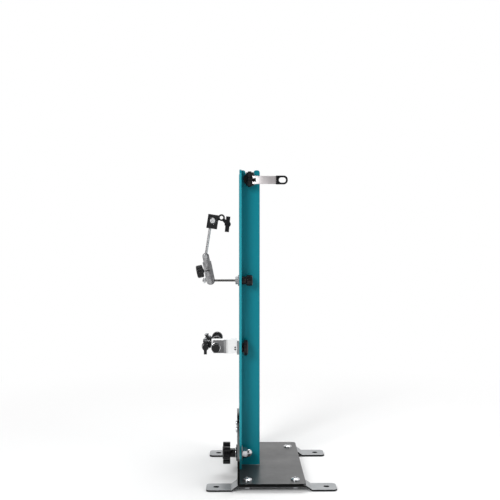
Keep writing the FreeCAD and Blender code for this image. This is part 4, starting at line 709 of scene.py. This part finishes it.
wine_knob = moulded("dark_wine_nylon", KNOB_WINE, KNOB_WINE_RUBBED, roughness=0.28)
gauge_low, gauge_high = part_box("rim_gauge_plate")
crest_y = gauge_low.y - TOOTH_PROUD
root_y = gauge_low.y + TOOTH_DEPTH
first_tooth = gauge_low.z + TEETH_INSET
teeth = skinned([
    [(gauge_low.x + TOOTH_CREST_INSET, crest_y, z), (gauge_high.x - TOOTH_CREST_INSET, crest_y, z),
     (gauge_high.x - TOOTH_ROOT_INSET, root_y, z), (gauge_low.x + TOOTH_ROOT_INSET, root_y, z)]
    for z in (first_tooth, first_tooth + TOOTH_WIDTH)])
tooth_count = int((gauge_high.z - gauge_low.z - TEETH_INSET * 2) / TOOTH_PITCH)
teeth = grown(teeth, fasteners_in_a_row, Count=tooth_count, Pitch=(0, 0, TOOTH_PITCH), Finish=zinc)
piece(joined(softened("rim_gauge_plate", GAUGE_PLATE_EDGE), teeth), "rim_gauge_plate_serrated",
      "rim_carriage", zinc, "bright_steel", "rim_gauge_plate")
block_low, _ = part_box("rim_gauge_block")
sawn = darkened(brushed("sawn_clamp", SAWN, SAWN_DULL, roughness=0.36, lines=(220.0, 220.0, 2600.0),
                        relief_depth=MILLED_DEPTH), CLAMP_PAINTED_SHADE)
gauge_block = softened("rim_gauge_block", BLOCK_EDGE)
for reach in (CLAMP_FROM, CLAMP_REACH, SHADE_REACH, SHADE_FADE):
    bmesh.ops.bisect_plane(gauge_block, geom=[*gauge_block.verts, *gauge_block.edges, *gauge_block.faces],
                           dist=MERGE, plane_co=(block_low.x + reach, 0, 0), plane_no=(1, 0, 0))


def clamp_shade(face):
    """Share of painted shade on the block's front: full on the clamp, fading on the bar beside its step."""
    along = face.calc_center_median().x - block_low.x
    if face.normal.y > FACING_FRONT or along < CLAMP_FROM:
        return 0.0
    for reach, share in ((CLAMP_REACH, 1.0), (SHADE_REACH, 0.85), (SHADE_FADE, 0.3)):
        if along < reach:
            return share
    return 0.0


marked(gauge_block, clamp_shade)
piece(gauge_block, "rim_gauge_block_milled", "rim_carriage", sawn, "cast_aluminium", "rim_gauge_block")
piece(softened("rim_plate_screws", PLATE_SCREW_EDGE), "rim_plate_screws_blacked", "rim_carriage", black_oxide,
      "black_steel", "rim_plate_screws")
knob_low, knob_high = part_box("rim_lock_knob")
knob_middle = (knob_low + knob_high) / 2
rim_knob = ribbed(softened("rim_lock_knob", KNOB_EDGE), (knob_low.x, knob_middle.y, knob_middle.z), (1, 0, 0),
                  wine_knob, count=20, radius=11.3 * MM, start=4.0 * MM, end=7.9 * MM, width=1.5 * MM,
                  proud=0.4 * MM)
piece(rim_knob, "rim_lock_knob_ribbed", "rim_lock", wine_knob, "black_plastic", "rim_lock_knob")
piece(softened("rim_lock_stud", PIN_EDGE), "rim_lock_stud_turned", "rim_lock", turned_steel, "bright_steel",
      "rim_lock_stud")

# ---------------------------------------------------------------- cross rod
# Ground steel rod that runs across under the rim, with a collar ring and a ribbed end knob.
# The rod slides in the rim gauge's split clamp, until its collar is a hair short of the clamp's face.

GROUND = (0.64, 0.64, 0.65, 1)
GROUND_DULL = (0.40, 0.40, 0.41, 1)
COLLAR_EDGE = 0.3 * MM
COLLAR_SPARE = 0.15 * MM
END_KNOB_EDGE = 0.25 * MM

rod_steel = brushed("ground_rod", GROUND, GROUND_DULL, roughness=0.22, lines=(80.0, 4200.0, 80.0))
piece(softened("cross_rod", ROD_EDGE), "cross_rod_ground", "cross_rod", rod_steel, "bright_steel",
      "cross_rod")
_, ring_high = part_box("cross_rod_ring")
collar = softened("cross_rod_ring", COLLAR_EDGE)
for corner in collar.verts:
    corner.co.y = min(corner.co.y, ring_high.y - COLLAR_SPARE)
piece(collar, "cross_rod_ring_plated", "cross_rod", plated, "chrome_hardware", "cross_rod_ring")
end_low, end_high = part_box("cross_rod_knob")
end_middle = (end_low + end_high) / 2
end_knob = ribbed(softened("cross_rod_knob", END_KNOB_EDGE), (end_middle.x, end_low.y, end_middle.z),
                  (0, 1, 0), black_nylon, count=16, radius=5.9 * MM, start=1.2 * MM, end=8.4 * MM,
                  width=1.1 * MM, proud=0.3 * MM)
piece(end_knob, "cross_rod_knob_ribbed", "cross_rod", black_nylon, "black_plastic", "cross_rod_knob")

# ---------------------------------------------------------------- rim feelers
# On each side of the rim an arm slides on the rod and carries a threaded feeler with a wing.
# Black steel arms with bright cap screws, bright threaded feelers, black moulded wings.

FEELER_DEPTH = 0.35 * MM
FEELER_CORE = 2.5 * MM - FEELER_DEPTH
FEELER_POINT = 3.0 * MM
CAP_RISE = 1.8 * MM
CAP_SOCKET = 2.4 * MM
ARM_EDGE = 0.4 * MM
FEELER_WING_EDGE = 0.45 * MM


def socket_screw(head, rise, socket):
    """Cylinder head screw with its seat at Z 0 and a hexagon socket."""
    return skinned([ring(head, 0), ring(head, rise * 0.82), ring(head * 0.86, rise),
                    ring(socket * 0.66, rise), ring(socket / 2, rise * 0.94, 6),
                    ring(socket / 2, rise * 0.35, 6)])


for side, inward in (("near", 1), ("far", -1)):
    arm = f"{side}_arm"
    piece(softened(f"{side}_feeler_arm", ARM_EDGE), f"{side}_feeler_arm_blacked", arm, black_oxide,
          "black_steel", f"{side}_feeler_arm")
    screws_low, screws_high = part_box(f"{side}_arm_screws")
    cap_radius = (screws_high.y - screws_low.y) / 2
    caps = socket_screw(cap_radius, CAP_RISE, CAP_SOCKET)
    turned_to(caps, (screws_low.x + cap_radius, (screws_low.y + screws_high.y) / 2, screws_high.z - CAP_RISE))
    to_second = (screws_high.x - screws_low.x - cap_radius * 2, 0, screws_low.z + CAP_RISE - screws_high.z)
    caps = grown(caps, fasteners_in_a_row, Count=2, Pitch=to_second, Finish=plated)
    piece(caps, f"{side}_arm_cap_screws", arm, plated, "chrome_hardware", f"{side}_arm_screws")
    low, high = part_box(f"{side}_feeler_screw")
    middle = (low + high) / 2
    start, tip = (low.y, high.y) if inward > 0 else (high.y, low.y)
    run = abs(tip - start) - FEELER_POINT
    core = skinned([ring(FEELER_CORE, 0), ring(FEELER_CORE, run), ring(1.6 * MM, run + 1.5 * MM),
                    ring(1.6 * MM, run + 2.7 * MM), ring(1.2 * MM, run + FEELER_POINT)])
    feeler = grown(core, screw_thread, Radius=FEELER_CORE, Pitch=0.8 * MM, Depth=FEELER_DEPTH, Length=run,
                   Finish=turned_steel)
    turned_to(feeler, (middle.x, start, middle.z), (0, inward, 0))
    piece(feeler, f"{side}_feeler_screw_threaded", f"{side}_feeler", turned_steel, "bright_steel",
          f"{side}_feeler_screw")
    piece(softened(f"{side}_feeler_wing", FEELER_WING_EDGE), f"{side}_feeler_wing_moulded", f"{side}_wing",
          black_nylon, "black_plastic", f"{side}_feeler_wing")

# ---------------------------------------------------------------- rotor gauge post
# Threaded post through the leg's upper slot, held by a serrated flange nut outside
# and a waisted knob inside. Burnished steel post, plated nuts, dark moulded knob.

BURNISHED = (0.30, 0.29, 0.28, 1)
BURNISHED_DARK = (0.14, 0.14, 0.14, 1)
POST_CORE = 1.6 * MM

burnished = brushed("burnished_post", BURNISHED, BURNISHED_DARK, roughness=0.22,
                    lines=(60.0, 3000.0, 3000.0))
post_low, post_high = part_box("rotor_post")
post_middle = (post_low + post_high) / 2
post_length = post_high.x - post_low.x
core = skinned([ring(POST_CORE, 0), ring(POST_CORE, post_length)])
post = grown(core, screw_thread, Radius=1.55 * MM, Pitch=0.7 * MM, Depth=0.33 * MM, Length=post_length,
             Finish=burnished)
turned_to(post, (post_low.x, post_middle.y, post_middle.z), (1, 0, 0))
piece(post, "rotor_post_threaded", "rotor_carriage", burnished, "black_steel", "rotor_post")
_, flange_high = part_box("rotor_flange_nut")
flange = ribbed(softened("rotor_flange_nut", WASHER_EDGE), (flange_high.x, post_middle.y, post_middle.z),
                (-1, 0, 0), zinc, count=28, radius=7.6 * MM, start=0.15 * MM, end=1.8 * MM, width=0.8 * MM,
                proud=0.3 * MM)
piece(flange, "rotor_flange_nut_serrated", "rotor_carriage", zinc, "chrome_hardware", "rotor_flange_nut")
piece(softened("post_end_nut", WASHER_EDGE), "post_end_nut_plated", "rotor_carriage", plated,
      "chrome_hardware", "post_end_nut")
lock_low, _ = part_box("rotor_lock_knob")
lock = ribbed(softened("rotor_lock_knob", KNOB_EDGE), (lock_low.x, post_middle.y, post_middle.z), (1, 0, 0),
              wine_knob, count=16, radius=7.55 * MM, start=8.4 * MM, end=14.8 * MM, width=1.3 * MM,
              proud=0.4 * MM)
piece(lock, "rotor_lock_knob_ribbed", "rotor_lock", wine_knob, "black_plastic", "rotor_lock_knob")

# ---------------------------------------------------------------- swivel
# Cast aluminium bar that turns on the post and leans left, forked at its upper end.
# A ribbed knob on its left pinches it; a small screw is the elbow's pin.

CAST = (0.98, 0.98, 0.99, 1)
CAST_DULL = (0.03, 0.03, 0.04, 1)
BAR_EDGE = 0.6 * MM
NOTCH_DEPTH = 1.0 * MM
FACET_AREA = 9 * MM ** 2
FACET_PAINTED_SHADE = 0.75
ELBOW_SCREW_EDGE = 0.2 * MM
BAR_LEAN = math.radians(11.5)
GRIP_RADIUS = 9.0 * MM
GRIP_ROUNDING = 1.0 * MM

# Faces of the bar marked dark turn near black: painted shade in the notch and on the sloping facet.
cast_alloy = darkened(brushed("cast_swivel", CAST, CAST_DULL, roughness=0.20, lines=(380.0, 380.0, 170.0),
                              relief_depth=0.08 * MM, scratches=0.3, cloud=120.0), BLACK_AND_PAINTED_SHADE)
swivel_low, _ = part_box("swivel_clamp")


def swivel_shade(face):
    """Share of painted shade on a face of the bar: full in the sawn notch, part on the sloping facet."""
    if face.normal.y < FACING_FRONT and face.calc_center_median().y > swivel_low.y + NOTCH_DEPTH:
        return 1.0
    on_facet = -0.95 < face.normal.y < -0.3 and face.normal.x > 0.3 and face.calc_area() > FACET_AREA
    return FACET_PAINTED_SHADE if on_facet else 0.0


swivel_bar = marked(softened("swivel_clamp", BAR_EDGE), swivel_shade)
piece(swivel_bar, "swivel_clamp_cast", "swivel", cast_alloy, "cast_aluminium", "swivel_clamp")
piece(softened("elbow_screw", ELBOW_SCREW_EDGE), "elbow_screw_plated", "swivel", plated, "chrome_hardware",
      "elbow_screw")
grip_low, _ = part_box("swivel_knob")
grip_axis = Vector((math.cos(BAR_LEAN), 0, math.sin(BAR_LEAN)))
grip_start = (grip_low.x + (GRIP_RADIUS - GRIP_ROUNDING) * math.sin(BAR_LEAN), post_middle.y,
              grip_low.z + GRIP_RADIUS * math.cos(BAR_LEAN) - GRIP_ROUNDING * math.sin(BAR_LEAN))
grip = ribbed(softened("swivel_knob", END_KNOB_EDGE), grip_start, grip_axis, black_nylon, count=22,
              radius=8.8 * MM, start=0.9 * MM, end=8.7 * MM, width=1.2 * MM, proud=0.35 * MM)
piece(grip, "swivel_knob_ribbed", "swivel_lock", black_nylon, "black_plastic", "swivel_knob")

# ---------------------------------------------------------------- stem and head
# Bright rod from the elbow up to a black block; a cap bolt holds the finger on the block.
# Drawn steel rod, black oxidised block, plated bolt with a hexagon socket.

DRAWN = (0.68, 0.68, 0.69, 1)
DRAWN_DULL = (0.46, 0.46, 0.47, 1)
BOLT_BRIGHT = (0.93, 0.94, 0.95, 1)
BOLT_DULL = (0.76, 0.77, 0.78, 1)
STEM_EDGE = 0.2 * MM
HEAD_EDGE = 0.6 * MM
CAP_SEAT_DEPTH = 1.2 * MM
SHANK_RADIUS = 2.0 * MM
SOCKET_MOUTH_RADIUS = 2.2 * MM
SOCKET_RADIUS = 1.8 * MM

stem_steel = brushed("drawn_stem", DRAWN, DRAWN_DULL, roughness=0.22, lines=(2600.0, 2600.0, 90.0))
bright_bolt = brushed("bright_bolt", BOLT_BRIGHT, BOLT_DULL, roughness=0.30, lines=(220.0, 220.0, 2600.0),
                      relief_depth=MILLED_DEPTH)
piece(softened("stem_rod", STEM_EDGE), "stem_rod_drawn", "stem", stem_steel, "bright_steel", "stem_rod")
piece(softened("head_block", HEAD_EDGE), "head_block_blacked", "head", black_oxide, "black_steel",
      "head_block")
bolt_low, bolt_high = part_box("head_bolt")
head_low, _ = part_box("head_block")
bolt_middle = (bolt_low + bolt_high) / 2
bolt_radius = (bolt_high.z - bolt_low.z) / 2
cap_seat = head_low.y + CAP_SEAT_DEPTH
cap_rise = cap_seat - bolt_low.y
cap = skinned([ring(SHANK_RADIUS, cap_seat - bolt_high.y), ring(SHANK_RADIUS, 0), ring(bolt_radius, 0),
               ring(bolt_radius, cap_rise * 0.85), ring(bolt_radius * 0.9, cap_rise),
               ring(SOCKET_MOUTH_RADIUS, cap_rise), ring(SOCKET_RADIUS, cap_rise * 0.92, 6),
               ring(SOCKET_RADIUS, cap_rise * 0.3, 6)])
turned_to(cap, (bolt_middle.x, cap_seat, bolt_middle.z), (0, -1, 0))
piece(cap, "head_cap_bolt", "head", bright_bolt, "chrome_hardware", "head_bolt")

# ---------------------------------------------------------------- finger and touch screw
# Flat finger with an open eye; its boss carries a small screw that points at the rotor.
# Black oxidised finger, bright threaded screw, black moulded wing.

FINGER_EDGE = 0.35 * MM
TOUCH_WING_EDGE = 0.4 * MM
TOUCH_CORE = 1.2 * MM
TOUCH_POINT = 2.0 * MM
TOUCH_TIP_RADIUS = 0.75 * MM

piece(softened("finger_plate", FINGER_EDGE), "finger_plate_blacked", "finger", black_oxide, "black_steel",
      "finger_plate")
touch_low, touch_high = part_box("touch_screw")
touch_middle = (touch_low + touch_high) / 2
touch_run = touch_high.y - touch_low.y - TOUCH_POINT
core = skinned([ring(TOUCH_CORE, 0), ring(TOUCH_CORE, touch_run),
                ring(TOUCH_TIP_RADIUS, touch_run + TOUCH_POINT)])
touch = grown(core, screw_thread, Radius=TOUCH_CORE, Pitch=0.6 * MM, Depth=0.28 * MM, Length=touch_run,
              Finish=turned_steel)
turned_to(touch, (touch_middle.x, touch_low.y, touch_middle.z), (0, 1, 0))
piece(touch, "touch_screw_threaded", "touch_screw", turned_steel, "bright_steel", "touch_screw")
piece(softened("touch_wing", TOUCH_WING_EDGE), "touch_wing_moulded", "touch_wing", black_nylon,
      "black_plastic", "touch_wing")

# ---------------------------------------------------------------- floor, light and camera
# A plain white floor that keeps the stand's shadow and pales into the white backdrop,
# three soft boxes, and a room that mirrors white behind the stand and dark behind the camera.

FLOOR_HALF = 8.0
FLOOR_WHITE = (0.90, 0.90, 0.90, 1)
FLOOR_PLAIN_FROM = 0.28
FLOOR_PLAIN_TO = 0.95
SKY_LIGHT = 0.42
ROOM_BEHIND_CAMERA = 0.08
ROOM_DARK_TO = -0.35
ROOM_WHITE_FROM = 0.25
CAMERA_PLACE = (-0.0506, -1.2708, 0.3756)
CAMERA_YAW = 1.001
CAMERA_PITCH = 2.011
CAMERA_LENS = 61.55


def lamp(name, spot, aim, width, height, power):
    """A soft box that looks at a point."""
    light = bpy.data.lights.new(name, "AREA")
    light.shape = "RECTANGLE"
    light.size = width
    light.size_y = height
    light.energy = power
    box = bpy.data.objects.new(name, light)
    box.location = spot
    box.rotation_euler = (Vector(aim) - Vector(spot)).to_track_quat("-Z", "Y").to_euler()
    bpy.context.collection.objects.link(box)


def floor_paint():
    """White floor that shows its light and shadow near the stand and plain white further out."""
    material = bpy.data.materials.new("floor_paper")
    material.use_nodes = True
    tree = material.node_tree
    surface = tree.nodes["Principled BSDF"]
    surface.inputs["Base Color"].default_value = FLOOR_WHITE
    surface.inputs["Roughness"].default_value = 0.85
    surface.inputs["Specular IOR Level"].default_value = 0.1
    place = node(tree, "ShaderNodeTexCoord")
    away = node(tree, "ShaderNodeVectorMath", {0: place.outputs["Object"]}, operation="LENGTH")
    plain = node(tree, "ShaderNodeMapRange", {
        "Value": away.outputs["Value"], "From Min": FLOOR_PLAIN_FROM, "From Max": FLOOR_PLAIN_TO},
        interpolation_type="SMOOTHSTEP")
    white = node(tree, "ShaderNodeEmission", {"Color": (1, 1, 1, 1), "Strength": 1.0})
    both = node(tree, "ShaderNodeMixShader", {
        0: plain.outputs[0], 1: surface.outputs[0], 2: white.outputs[0]})
    tree.links.new(both.outputs[0], tree.nodes["Material Output"].inputs["Surface"])
    return material


floor_form = bmesh.new()
bmesh.ops.create_grid(floor_form, x_segments=1, y_segments=1, size=FLOOR_HALF)
floor_mesh = bpy.data.meshes.new("floor")
floor_form.to_mesh(floor_mesh)
floor_form.free()
floor_mesh.materials.append(floor_paint())
floor = bpy.data.objects.new("floor", floor_mesh)
bpy.context.collection.objects.link(floor)

world = bpy.data.worlds.new("pale_room")
bpy.context.scene.world = world
world.use_nodes = True
sky = world.node_tree
rays = node(sky, "ShaderNodeLightPath")
look = node(sky, "ShaderNodeTexCoord")
apart = node(sky, "ShaderNodeSeparateXYZ", {0: look.outputs["Generated"]})
backdrop = node(sky, "ShaderNodeMapRange", {
    "Value": apart.outputs["Y"], "From Min": ROOM_DARK_TO, "From Max": ROOM_WHITE_FROM,
    "To Min": ROOM_BEHIND_CAMERA, "To Max": 1.0}, interpolation_type="SMOOTHSTEP")
mirrored = node(sky, "ShaderNodeMath", {
    0: rays.outputs["Is Glossy Ray"], 1: rays.outputs["Is Transmission Ray"]}, operation="MAXIMUM")
lit = node(sky, "ShaderNodeMix", {
    0: mirrored.outputs[0], 2: SKY_LIGHT, 3: backdrop.outputs[0]}, data_type="FLOAT")
seen = node(sky, "ShaderNodeMix", {
    0: rays.outputs["Is Camera Ray"], 2: lit.outputs[0], 3: 1.0}, data_type="FLOAT")
sky.links.new(seen.outputs[0], sky.nodes["Background"].inputs["Strength"])
sky.nodes["Background"].inputs["Color"].default_value = (1, 1, 1, 1)

lamp("key_box", spot=(-1.05, -1.9, 1.35), aim=(0, 0, 0.22), width=0.8, height=1.1, power=34.0)
lamp("fill_box", spot=(1.9, -1.1, 1.0), aim=(0, 0, 0.22), width=1.2, height=1.2, power=12.0)
lamp("top_box", spot=(0.3, 0.6, 2.2), aim=(0, 0, 0.1), width=1.4, height=1.4, power=26.0)

lens = bpy.data.cameras.new("camera")
lens.lens = CAMERA_LENS
lens.sensor_width = 36.0
camera = bpy.data.objects.new("camera", lens)
camera.location = CAMERA_PLACE
camera.rotation_euler = (math.radians(90 - CAMERA_PITCH), 0, -math.radians(CAMERA_YAW))
bpy.context.collection.objects.link(camera)
bpy.context.scene.camera = camera
bpy.context.scene.view_settings.view_transform = "Standard"
